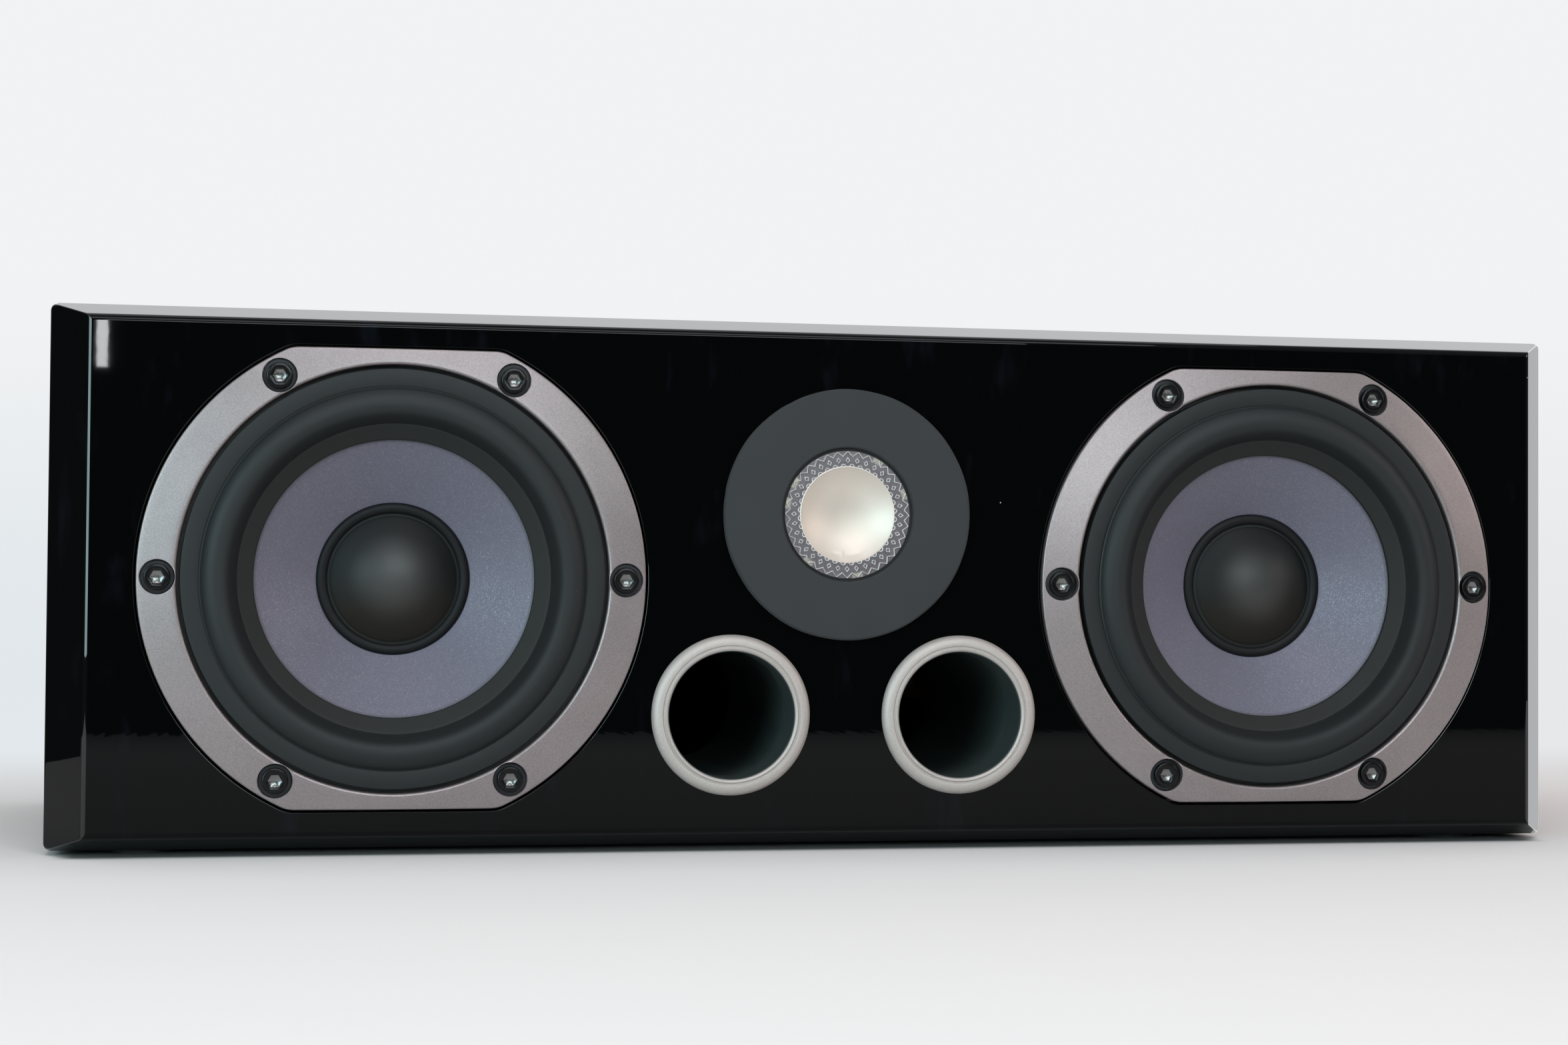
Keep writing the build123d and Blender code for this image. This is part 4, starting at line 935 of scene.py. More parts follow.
class SPEAKER_OT_surrounds(bpy.types.Operator):
    """Mould the rubber surrounds"""
    bl_idname = "speaker.surrounds"
    bl_label = "Surrounds"

    ROLL_OUT = 51.0
    ROLL_IN = 41.5
    LIP_IN = 37.25
    THICKNESS = 0.9
    FOOT = 1.2
    LIP_SLOPE = 0.5
    CREST = 2.7
    COUNT = 288

    def profile(self, edge, front, crest):
        """Flange, half roll and lip, and then the underside."""
        roll_out, roll_in, lip_in = self.ROLL_OUT, self.ROLL_IN, self.LIP_IN
        thick = self.THICKNESS
        foot = front + self.FOOT
        lip = foot + (roll_in - lip_in) * self.LIP_SLOPE
        top = (roll_out + roll_in) / 2
        points = [(edge, front + thick), (edge, front + 0.25), (edge - 0.08, front + 0.08)]
        points += [(edge - 0.3, front), (roll_out + 0.75, front), (roll_out + 0.5, front + 0.05)]
        points += [(roll_out + 0.3, front + 0.16), (roll_out, front + 0.02)]
        points += bow(points[-1], (top, crest + 0.03), (roll_in, foot), 40)
        points += [(roll_in - 0.25, foot + 0.02), (roll_in - 0.6, foot + 0.24)]
        points += [(lip_in + 0.35, lip - 0.2), (lip_in + 0.1, lip - 0.02), (lip_in, lip + 0.18)]
        points += [(lip_in, lip + thick), (roll_in + 0.9, foot - 0.45 + thick)]
        points += bow(points[-1], (top, crest + thick), (roll_out - 0.9, front + thick), 20)
        return points

    def finish(self, s):
        """Matte rubber, darker and browner on the lip, with painted shade in the valley inside the roll and
        on the flat flange; fine grain and a little lint.
        """
        rubber = Finish("surround_rubber")
        radius = rubber.radius(WOOFER_X, WOOFER_Z, mirrored=True)
        on_lip = 1 - rubber.step(radius, self.ROLL_IN - 1.2, self.ROLL_IN + 1.0)
        grain = rubber.noise(0.22, 3.0, 0.6)
        cloud = rubber.noise(9.0, 3.0)
        lint = rubber.specks(2.6, 0.10, 0.055)
        body = rubber.mix(cloud, shaded(s.surround, 0.86), shaded(s.surround, 1.16))
        # Painted shade: the flat flange outside the roll is made darker than the roll.
        land = rubber.step(radius, self.ROLL_OUT - 0.2, self.ROLL_OUT + 0.6)
        body = rubber.mix(land, body, shaded(s.surround, 0.82))
        # Painted shade: the valley between the roll and the lip is darkened where shade falls.
        painted_valley_shade = rubber.step(radius, self.ROLL_IN - 0.3, self.ROLL_IN + 0.6)
        painted_valley_shade = painted_valley_shade * (1 - rubber.step(radius, self.ROLL_IN + 1.7, self.ROLL_IN + 3.8))
        body = rubber.mix(painted_valley_shade * 0.7, body, shaded(s.surround, 0.25))
        tint = rubber.mix(on_lip, body, s.lip)
        return rubber.surface(
            Base_Color=rubber.mix(lint * 0.55, tint, (0.17, 0.17, 0.165)),
            Roughness=0.50 + cloud * 0.08 + on_lip * 0.16 + painted_valley_shade * 0.35,
            Normal=rubber.bump(grain, 0.022),
            Specular_IOR_Level=0.36,
        )

    def execute(self, context):
        material = self.finish(context.scene.speaker_woofer)
        for side in SIDES:
            node = f"{side}_surround"
            crest = depth_of(node, 0)
            profile = self.profile(half_width(node), crest + self.CREST, crest)
            piece = turned(f"{side}_rubber", WOOFERS[side], profile, self.COUNT)
            dress(piece, material, None, "surround_rubber", node)
            follow_cone(piece, side, self.ROLL_OUT, self.ROLL_IN)
        return {"FINISHED"}


class SPEAKER_OT_cones(bpy.types.Operator):
    """Form the grey cones with their glitter"""
    bl_idname = "speaker.cones"
    bl_label = "Cones"

    VISIBLE = 37.25
    SLOPE = 0.5
    NECK = 13.15
    NECK_LENGTH = 4.0
    NECK_WALL = 0.7
    WALL = 1.0
    STEPS = 24
    COUNT = 256

    def finish(self, s):
        """Grey with glittering flakes and faint rings, darker where the rubber is glued on."""
        cone = Finish("cone_grey")
        radius = cone.radius(WOOFER_X, WOOFER_Z, mirrored=True)
        _, chance, tilt = cone.cells(0.17)
        _, fine, fine_tilt = cone.cells(0.12)
        cloud = cone.noise(7.0, 3.0)
        mottle = cone.noise(0.55, 3.0, 0.65)
        ripple = cone.math("SINE", radius * 5.2) * 0.5 + 0.5
        flakes = (chance > 0.90) * (0.2 + tilt * 0.8)
        blend = mottle * 0.5 + fine * 0.35 + cloud * 0.15
        body = cone.mix(blend, shaded(s.cone, 0.64), shaded(s.cone, 1.34))
        shade = cone.mix(flakes * 0.6, body, s.flake)
        rim = cone.step(radius, self.VISIBLE - 0.9, self.VISIBLE + 0.1)
        return cone.surface(
            Base_Color=cone.mix(rim * 0.6, shade, (0.03, 0.03, 0.035)),
            Metallic=0.12 + flakes * 0.5,
            Roughness=0.46 - flakes * 0.16 + mottle * 0.08,
            Normal=cone.bump(fine_tilt * 0.6 + tilt * 0.4 + ripple * 0.10, 0.010),
        )

    def execute(self, context):
        material = self.finish(context.scene.speaker_woofer)
        for side in SIDES:
            node = f"{side}_cone"
            rim, front, back = half_width(node), depth_of(node, 0), depth_of(node, 1)
            shoulder = front + (rim - self.VISIBLE) * self.SLOPE
            neck, throat = self.NECK, back - self.NECK_LENGTH
            profile = [(rim, front), (self.VISIBLE + 0.4, shoulder - 0.2)]
            for k in range(self.STEPS + 1):
                t = k / self.STEPS
                radius = self.VISIBLE + (neck - self.VISIBLE) * t
                profile.append((radius, shoulder + (throat - shoulder) * t))
            outside = neck + self.NECK_WALL
            profile += [(neck, back), (outside, back), (outside, throat + self.WALL / 2)]
            profile += [(self.VISIBLE, shoulder + self.WALL), (rim, front + self.WALL)]
            piece = turned(f"{side}_diaphragm", WOOFERS[side], profile, self.COUNT)
            dress(piece, material, f"{side}_cone", "cone_grey", node)
        return {"FINISHED"}


class SPEAKER_OT_dust_caps(bpy.types.Operator):
    """Form the satin black dust caps with their collars"""
    bl_idname = "speaker.dust_caps"
    bl_label = "Dust caps"

    DOME = 17.6
    HEIGHT = 5.0
    WALL = 0.8
    RINGS = 27
    COUNT = 224

    def finish(self, s):
        """Satin black with a sheen at the middle, a painted highlight on the rim, a painted warm reflection
        on the lower half and a little lint.
        """
        cap = Finish("cap_black")
        radius = cap.radius(WOOFER_X, WOOFER_Z, mirrored=True)
        collar = cap.step(radius, self.DOME - 0.1, self.DOME + 0.5)
        cloud = cap.noise(8.0, 3.0)
        grain = cap.noise(0.35, 3.0, 0.6)
        lint = cap.specks(2.8, 0.12, 0.05)
        # Painted highlight: a paler thin ring at the step round the dome.
        rim = cap.step(radius, self.DOME - 0.7, self.DOME - 0.15)
        rim = rim * (1 - cap.step(radius, self.DOME, self.DOME + 0.35))
        # Painted reflection: the lower half is warmer and paler, standing in for the table it mirrors.
        height = cap.split(cap.place())[2]
        painted_lower_reflection = 1 - cap.step(height, WOOFER_Z - 0.011, WOOFER_Z + 0.003)
        shade = cap.mix(painted_lower_reflection, s.cap, (0.0085, 0.0070, 0.0044))
        shade = cap.mix(collar, shade, (0.0016, 0.0024, 0.0032))
        shade = cap.mix(rim * 0.5, shade, (0.045, 0.052, 0.054))
        return cap.surface(
            Base_Color=cap.mix(lint * 0.6, shade, (0.16, 0.16, 0.155)),
            Roughness=0.50 + cloud * 0.06 + grain * 0.06,
            Coat_Weight=(1 - cap.step(radius, 1.5, 13.5)) * (0.62 + grain * 0.14),
            Normal=cap.bump(grain, 0.010),
            Specular_IOR_Level=0.25,
            Coat_Roughness=0.42,
            Coat_IOR=1.75,
        )

    def profile(self, outer, top):
        """Dome, groove and rounded collar, and then the underside."""
        dome, edge = self.DOME, top + self.HEIGHT
        points = [(0.0, top)]
        for k in range(1, self.RINGS + 1):
            r = (dome - 0.35) * k / self.RINGS
            points.append((r, dome_depth(r, dome, edge, self.HEIGHT)))
        points += [(dome - 0.18, edge + 0.10), (dome + 0.02, edge + 0.24), (dome + 0.25, edge + 0.02)]
        points += bow(points[-1], ((dome + outer) / 2, edge - 0.9), (outer - 0.1, edge - 0.02), 14)
        points += [(outer, edge + 0.15), (outer - 0.9, edge + 0.62), (dome, edge + self.WALL)]
        points.append((dome / 2, dome_depth(dome / 2, dome, edge + self.WALL, self.HEIGHT)))
        return points + [(0.0, top + self.WALL)]

    def execute(self, context):
        material = self.finish(context.scene.speaker_woofer)
        for side in SIDES:
            node = f"{side}_dust_cap"
            profile = self.profile(half_width(node), depth_of(node, 0))
            piece = turned(f"{side}_cap", WOOFERS[side], profile, self.COUNT)
            dress(piece, material, f"{side}_cone", "cap_black", node)
        return {"FINISHED"}


# ---------------------------------------------------------------- tweeter

class SPEAKER_OT_tweeter_cover(bpy.types.Operator):
    """Cut the soft matte ring round the tweeter"""
    bl_idname = "speaker.tweeter_cover"
    bl_label = "Tweeter cover"

    COUNT = 360
    CUT_BAND = 1.2
    RIPPLE = 0.10
    NICK = 0.14

    def execute(self, context):
        s = context.scene.speaker_tweeter
        outer = half_width("tweeter_cover")
        front, back = depth_of("tweeter_cover", 0), depth_of("tweeter_cover", 1)
        profile = softened([
            (s.cover_bore, back, 0.0),
            (s.cover_bore, front, s.cover_edge * 0.6),
            (outer, front, s.cover_edge),
            (outer, back, 0.0),
        ], 8)
        ring = turned("tweeter_ring", TWEETER, profile, self.COUNT)
        x, z = TWEETER
        for vertex in ring.data.vertices:
            across, up = vertex.co.x - x, vertex.co.z - z
            radius, angle = hypot(across, up), atan2(up, across)
            if radius > (outer - self.CUT_BAND) * MM:
                ripple = 0.5 + 0.5 * sin(3 * angle + 0.7) * sin(11 * angle + 2.1)
                nick = max(0.0, cos(angle - 2.05)) ** 900 + 0.7 * max(0.0, cos(angle - 3.0)) ** 1400
                pull = 1 - (self.RIPPLE * ripple + self.NICK * nick) * MM / radius
                vertex.co.x, vertex.co.z = x + across * pull, z + up * pull
        soft = Finish("cover_soft")
        grain = soft.noise(0.3, 4.0, 0.65)
        cloud = soft.noise(13.0, 3.0)
        dust = soft.specks(1.9, 0.10, 0.06)
        body = soft.mix(cloud, shaded(s.cover, 0.92), shaded(s.cover, 1.08))
        soft.surface(
            Base_Color=soft.mix(dust * 0.45, body, (0.22, 0.22, 0.215)),
            Roughness=0.74 + grain * 0.12,
            Normal=soft.bump(grain, 0.014),
            Specular_IOR_Level=0.3,
            Sheen_Weight=0.06,
        )
        dress(ring, soft.material, "cabinet", "cover_soft", "tweeter_cover")
        plastic = Finish("tweeter_flange_black")
        tooth = plastic.noise(0.25, 3.0)
        shade = plastic.mix(tooth, (0.006, 0.006, 0.007), (0.014, 0.014, 0.015))
        plastic.surface(Base_Color=shade, Roughness=0.55 + tooth * 0.2, Normal=plastic.bump(tooth, 0.02))
        refinish(plastic.material, "tweeter_flange")
        return {"FINISHED"}


class SPEAKER_OT_tweeter_dome(bpy.types.Operator):
    """Draw the metal dome and emboss its rim"""
    bl_idname = "speaker.tweeter_dome"
    bl_label = "Tweeter dome"

    FOIL = 0.5
    DIAMOND = 15.05
    DIAMOND_WIDE = 0.74
    DIAMOND_OUT = 0.98
    DIAMOND_IN = 0.82
    ZIGZAG_OUT = 17.45
    ZIGZAG_IN = 16.15
    ZIGZAG_LINE = 0.22
    SCALLOP = 13.35
    SCALLOP_RADIUS = 0.62
    SCALLOP_LINE = 0.20
    DOME_RINGS = 33
    RIM_ROWS = 58
    PER_DIAMOND = 26
    BEAD = ((-0.02, -0.02), (0.04, 0.07), (0.13, 0.13), (0.22, 0.10))
    # Creases near the lower edge: angle in degrees, then radius, half width, half height and depth.
    DENTS = (
        (254, 11.3, 1.2, 0.55, 0.14),
        (264, 11.0, 0.45, 0.80, -0.10),
        (281, 11.2, 2.3, 0.60, 0.12),
        (296, 11.6, 1.3, 0.45, -0.05),
    )

    def dished(self, radius, edge, s):
        """Depth of the inward dome at a radius."""
        return 2 * edge - dome_depth(radius, s.dome_radius, edge, s.dish)

    def dent(self, radius, angle):
        """Depth of the creases at a place on the dome."""
        depth = 0.0
        for at, out, wide, high, deep in self.DENTS:
            along = radius * sin(angle - radians(at)) / wide
            if cos(angle - radians(at)) > 0:
                depth += deep * exp(-along * along - ((radius - out) / high) ** 2)
        return depth

    def raised(self, radius, angle, s):
        """Height of the embossing at a place on the rim, from 0 to 1."""
        pitch = 2 * pi / s.emboss_count
        turn = (angle - pi / 2) / pitch
        at_diamond = (turn + 0.5) % 1.0 - 0.5
        at_between = turn % 1.0 - 0.5
        across = abs(at_diamond) * pitch * radius
        up = radius - self.DIAMOND
        reach = self.DIAMOND_OUT if up > 0 else self.DIAMOND_IN
        inside = 1 - across / self.DIAMOND_WIDE - abs(up) / reach
        diamond = 1 - abs(inside - 0.26) / 0.28
        top = (radius - self.ZIGZAG_IN) / (self.ZIGZAG_OUT - self.ZIGZAG_IN)
        off = (abs(at_between) - 0.47 * top) * pitch * radius * 0.74
        zigzag = 1 - abs(off) / self.ZIGZAG_LINE if -0.06 < top < 1.06 else 0.0
        arc = hypot(at_between * pitch * radius, radius - self.SCALLOP)
        scallop = 1 - abs(arc - self.SCALLOP_RADIUS) / self.SCALLOP_LINE
        peak = max(0.0, min(diamond, 1.0), min(zigzag, 1.0), min(scallop, 0.8))
        return peak * peak * (3 - 2 * peak)

    def foil(self, outer, rim, back, s):
        """Dome with its creases, a bead round it, the embossed rim and the back of the foil."""
        count = s.emboss_count * self.PER_DIAMOND
        angles = [2 * pi * i / count for i in range(count)]
        skin = Skin()
        loops = []
        for k in range(1, self.DOME_RINGS + 1):
            r = (s.dome_radius - 0.12) * k / self.DOME_RINGS
            depth = self.dished(r, rim, s)
            loops.append(skin.loop([spot(TWEETER, r, a, depth + self.dent(r, a)) for a in angles]))
        for wide, proud in self.BEAD:
            loops.append(skin.loop(circle(TWEETER, s.dome_radius + wide, rim - proud, count)))
        first = s.dome_radius + 0.34
        for k in range(self.RIM_ROWS + 1):
            r = first + (outer - 0.1 - first) * k / self.RIM_ROWS
            heights = [s.emboss * self.raised(r, a, s) for a in angles]
            loops.append(skin.loop([spot(TWEETER, r, a, rim - h) for a, h in zip(angles, heights)]))
        for r, depth in ((outer, rim + 0.12), (outer, back), (s.dome_radius, back)):
            loops.append(skin.loop(circle(TWEETER, r, depth, count)))
        for part in (0.75, 0.5, 0.25):
            r = s.dome_radius * part
            loops.append(skin.loop(circle(TWEETER, r, self.dished(r, back, s), count)))
        skin.chain(loops)
        skin.close(loops[0], spot(TWEETER, 0, 0, rim + s.dish))
        skin.close(loops[-1], spot(TWEETER, 0, 0, back + s.dish))
        return skin.piece("tweeter_foil")

    def execute(self, context):
        s = context.scene.speaker_tweeter
        node = "tweeter_diaphragm"
        outer, back = half_width(node), depth_of(node, 1) - s.dish
        rim = back - self.FOIL
        dome = self.foil(outer, rim, back, s)
        metal = Finish("dome_metal")
        across, along, up = metal.split(metal.place())
        radius = metal.radius(*TWEETER)
        on_rim = metal.step(radius, s.dome_radius - 0.1, s.dome_radius + 0.5)
        cloud = metal.noise(6.0, 3.0)
        grain = metal.noise(0.35, 3.0, 0.6)
        hollow = metal.noise(1.6, 2.0)
        tint = metal.mix(cloud, shaded(s.dome, 0.93), s.dome)
        # Painted reflection: the middle of the dome is darker, a dark reflection painted in.
        dull = (1 - metal.step(radius, 1.0, s.dome_radius * 0.65)) * 0.8
        tint = metal.mix(dull, tint, shaded(s.dome, 0.78))
        tint = metal.mix(on_rim, tint, (0.95, 0.92, 0.90))
        # Painted shade on the low ground between the embossing, and painted glints on random facets of the
        # embossed rim.
        crest, foot = (FACE_Y + (rim - s.emboss * part) * MM for part in (0.42, 0.10))
        ground = on_rim * metal.step(along, crest, foot)
        turn = metal.math("ARCTAN2", up - TWEETER[1], across - TWEETER[0])
        facet = metal.math("FLOOR", turn * (s.emboss_count / (2 * pi)) + 0.5)
        chance = metal.value(metal.add("ShaderNodeTexWhiteNoise", {"noise_dimensions": "1D"}, {"W": facet}))
        glint = (chance > 0.80) * metal.step(radius, self.ZIGZAG_IN - 0.1, self.ZIGZAG_IN + 0.4)
        floor = metal.mix(glint * 0.7, (0.112, 0.100, 0.112), (0.42, 0.38, 0.32))
        metal.surface(
            Base_Color=metal.mix(ground * (0.92 + hollow * 0.08), tint, floor),
            Metallic=0.72,
            Roughness=0.48 + cloud * 0.06 + grain * 0.05 - on_rim * 0.18,
            Normal=metal.bump(grain, 0.004),
        )
        dress(dome, metal.material, "cabinet", "dome_metal", node)
        return {"FINISHED"}


# ---------------------------------------------------------------- ports

class SPEAKER_OT_ports(bpy.types.Operator):
    """Turn the silver port trims and finish the tubes"""
    bl_idname = "speaker.ports"
    bl_label = "Ports"

    WALL = 1.2
    COUNT = 224

    def profile(self, outer, front, back, s):
        """Bore, bead, groove and rounded band, and then the back."""
        ridge = s.bore + s.ridge
        groove_end = ridge + 0.75
        points = [(s.bore, back), (s.bore, front + 1.6)]
        points += bow(points[-1], (s.bore + 0.22, front + 0.40), (ridge - 0.15, front + 0.03), 10)
        points += bow(points[-1], (ridge - 0.02, front + 0.02), (ridge + 0.10, front + 0.10), 4)
        points += bow(points[-1], (ridge + 0.42, front + 0.52), (groove_end, front + 0.26), 8)
        band = ((groove_end + outer) / 2 + 0.2, front + 0.50)
        points += bow(points[-1], band, (outer - 0.06, front + 1.75), 20)
        points += [(outer, front + 1.95), (outer, 0.0), (s.bore + self.WALL, 0.0)]
        return points + [(s.bore + self.WALL, back)]

    def execute(self, context):
        s = context.scene.speaker_port
        paint = Finish("port_silver")
        _, chance, tilt = paint.cells(0.15)
        cloud = paint.noise(7.0, 2.0)
        shade = paint.mix(chance * 0.7 + cloud * 0.3, shaded(s.trim, 0.84), shaded(s.trim, 1.1))
        near = paint.radius(*PORTS["right"], mirrored=True)
        # Bare black plastic inside the bore, painted darker than the tube as shade so it blends into the
        # deeper tube.
        bare = 1 - paint.step(near, s.bore + 0.08, s.bore + 0.35)
        paint.surface(
            Base_Color=paint.mix(bare, shade, shaded(s.tube, 0.68)),
            Metallic=0.45 * (1 - bare),
            Roughness=0.48 + tilt * 0.08,
            Normal=paint.bump(tilt, 0.0012),
        )
        tube = Finish("tube_black")
        grain = tube.noise(0.3, 3.0)
        streak = tube.noise(5.0, 2.0, along=(1.0, 0.15, 1.0))
        dark = tube.mix(streak, shaded(s.tube, 0.8), shaded(s.tube, 1.3))
        tube.surface(Base_Color=dark, Roughness=0.42 + grain * 0.12, Normal=tube.bump(grain, 0.012))
        for side in SIDES:
            node = f"{side}_port_trim"
            profile = self.profile(half_width(node), depth_of(node, 0), depth_of(node, 1), s)
            piece = turned(f"{side}_port_rim", PORTS[side], profile, self.COUNT)
            dress(piece, paint.material, "cabinet", "port_silver", node)
            refinish(tube.material, f"{side}_port_tube")
        return {"FINISHED"}


# ---------------------------------------------------------------- rear and inside

class SPEAKER_OT_terminals(bpy.types.Operator):
    """Finish the rear terminals"""
    bl_idname = "speaker.terminals"
    bl_label = "Terminals"

    def execute(self, context):
        s = context.scene.speaker_terminal
        cup = Finish("terminal_cup_black")
        tooth = cup.noise(0.45, 4.0, 0.6)
        shade = cup.mix(cup.noise(6.0), s.plastic, shaded(s.plastic, 1.7))
        cup.surface(Base_Color=shade, Roughness=0.48 + tooth * 0.2, Normal=cup.bump(tooth, 0.03))
        refinish(cup.material, "terminal_cup")
        gold = Finish("gold_plate")
        rub = gold.noise(1.2, 3.0, along=(1.0, 8.0, 1.0))
        warm = gold.mix(rub, s.metal, shaded(s.metal, 0.82))
        gold.surface(Base_Color=warm, Metallic=1.0, Roughness=0.18 + rub * 0.14)
        refinish(gold.material, "positive_post", "negative_post", "post_nuts")
        for name, tint in (("positive", s.red), ("negative", s.black)):
            plastic = Finish(f"{name}_cap_plastic")
            haze = plastic.noise(2.0, 3.0)
            fine = plastic.noise(0.2, 2.0)
            body = plastic.mix(haze, tint, tuple(min(c * 1.35 + 0.002, 1.0) for c in tint))
            plastic.surface(Base_Color=body, Roughness=0.26 + haze * 0.14, Normal=plastic.bump(fine, 0.006))
            refinish(plastic.material, f"{name}_cap")
        black = Finish("cup_screw_black")
        wear = black.noise(0.5, 4.0, 0.65)
        coat = black.mix(wear, (0.014, 0.014, 0.014), (0.04, 0.04, 0.041))
        black.surface(Base_Color=coat, Metallic=0.7, Roughness=0.3 + wear * 0.2)
        refinish(black.material, "terminal_cup_screws", "tweeter_screws")
        return {"FINISHED"}


class SPEAKER_OT_inner_works(bpy.types.Operator):
    """Finish the pieces inside the cabinet"""
    bl_idname = "speaker.inner_works"
    bl_label = "Inner works"

    # Dark and light tone, metallic share, roughness, size of the grain in millimetres, and the nodes.
    FINISHES = {
        "basket_paint": (
            (0.012, 0.012, 0.012), (0.028, 0.028, 0.028), 0.3, 0.45, 0.5, ("left_basket", "right_basket")),
        "bare_sheet": (
            (0.55, 0.55, 0.54), (0.72, 0.72, 0.70), 1.0, 0.30, 0.6,
            ("left_coil_former", "right_coil_former")),
        "copper_winding": (
            (0.42, 0.17, 0.07), (0.66, 0.30, 0.13), 0.9, 0.28, 0.35,
            ("left_voice_coil", "right_voice_coil", "tweeter_voice_coil", "woofer_inductor",
             "tweeter_inductor")),
        "zinc_plate": (
            (0.42, 0.42, 0.40), (0.58, 0.57, 0.53), 0.9, 0.34, 1.2,
            ("left_top_plate", "right_top_plate", "left_pole_yoke", "right_pole_yoke", "tweeter_top_plate",
             "tweeter_yoke")),
        "ferrite": (
            (0.028, 0.028, 0.031), (0.060, 0.059, 0.062), 0.1, 0.60, 0.8,
            ("left_magnet", "right_magnet", "tweeter_magnet")),
        "gasket_foam": (
            (0.014, 0.014, 0.014), (0.034, 0.034, 0.034), 0.0, 0.85, 0.7, ("woofer_gaskets",)),
        "phenolic_board": (
            (0.23, 0.14, 0.045), (0.33, 0.21, 0.08), 0.0, 0.42, 2.0,
            ("crossover_board", "woofer_terminal_strips")),
        "natural_nylon": (
            (0.66, 0.65, 0.58), (0.78, 0.77, 0.71), 0.0, 0.40, 1.5, ("board_standoffs",)),
        "capacitor_wrap": (
            (0.36, 0.25, 0.03), (0.50, 0.37, 0.06), 0.0, 0.25, 3.0, ("crossover_capacitors",)),
        "cement": (
            (0.58, 0.56, 0.50), (0.74, 0.72, 0.66), 0.0, 0.75, 0.5, ("crossover_resistors",)),
        "wire_sleeve": (
            (0.012, 0.012, 0.012), (0.05, 0.05, 0.05), 0.0, 0.45, 1.0, ("internal_wiring",)),
        "wadding": (
            (0.62, 0.61, 0.57), (0.80, 0.79, 0.76), 0.0, 0.95, 2.5, ("damping_wadding",)),
    }
    SPIDER_BORE = 13.45
    SPIDER_FLAT = 5.0
    SPIDER_CLOTH = 0.6
    SPIDER_WAVES = 4
    SPIDER_WAVE = 1.6
    SPIDER_STEPS = 96
    SPIDER_COUNT = 128
    GLUE = 1.0
    THREADS = 9000.0

    def spider(self, side):
        """Corrugated cloth ring behind the cone."""
        node = f"{side}_spider"
        outer, front = half_width(node), depth_of(node, 1) - self.SPIDER_CLOTH
        inner, bend = self.SPIDER_BORE, outer - self.SPIDER_FLAT
        line = []
        for k in range(self.SPIDER_STEPS + 1):
            t = k / self.SPIDER_STEPS
            wave = 0.5 - 0.5 * cos(2 * pi * self.SPIDER_WAVES * t)
            line.append((inner + (bend - inner) * t, front - self.SPIDER_WAVE * wave))
        line.append((outer, front))
        profile = line + [(r, d + self.SPIDER_CLOTH) for r, d in reversed(line)]
        piece = turned(f"{side}_spider_cloth", WOOFERS[side], profile, self.SPIDER_COUNT)
        return piece, bend, inner

    def execute(self, context):
        for name, (dark, light, metal, rough, size, nodes) in self.FINISHES.items():
            finish = Finish(name)
            cloud = finish.noise(size * 6, 3.0)
            grain = finish.noise(size * 0.5, 3.0, 0.6)
            finish.surface(
                Base_Color=finish.mix(cloud * 0.6 + grain * 0.4, dark, light),
                Metallic=metal,
                Roughness=rough + grain * 0.12,
                Normal=finish.bump(grain, size * 0.02),
            )
            refinish(finish.material, *nodes)
        cloth = Finish("spider_cloth")
        across, _, up = cloth.split(cloth.place())
        warp, weft = (cloth.math("SINE", place * self.THREADS) for place in (across, up))
        weave = warp * weft * 0.5 + 0.5
        tint = cloth.mix(weave * 0.6 + cloth.noise(4.0) * 0.4, (0.34, 0.22, 0.09), (0.52, 0.36, 0.16))
        cloth.surface(Base_Color=tint, Roughness=0.8 + weave * 0.1, Normal=cloth.bump(weave, 0.05))
        for side in SIDES:
            piece, outer, inner = self.spider(side)
            dress(piece, cloth.material, None, "spider_cloth", f"{side}_spider")
            follow_cone(piece, side, outer, inner + self.GLUE)
        return {"FINISHED"}


# ---------------------------------------------------------------- stage, in metres

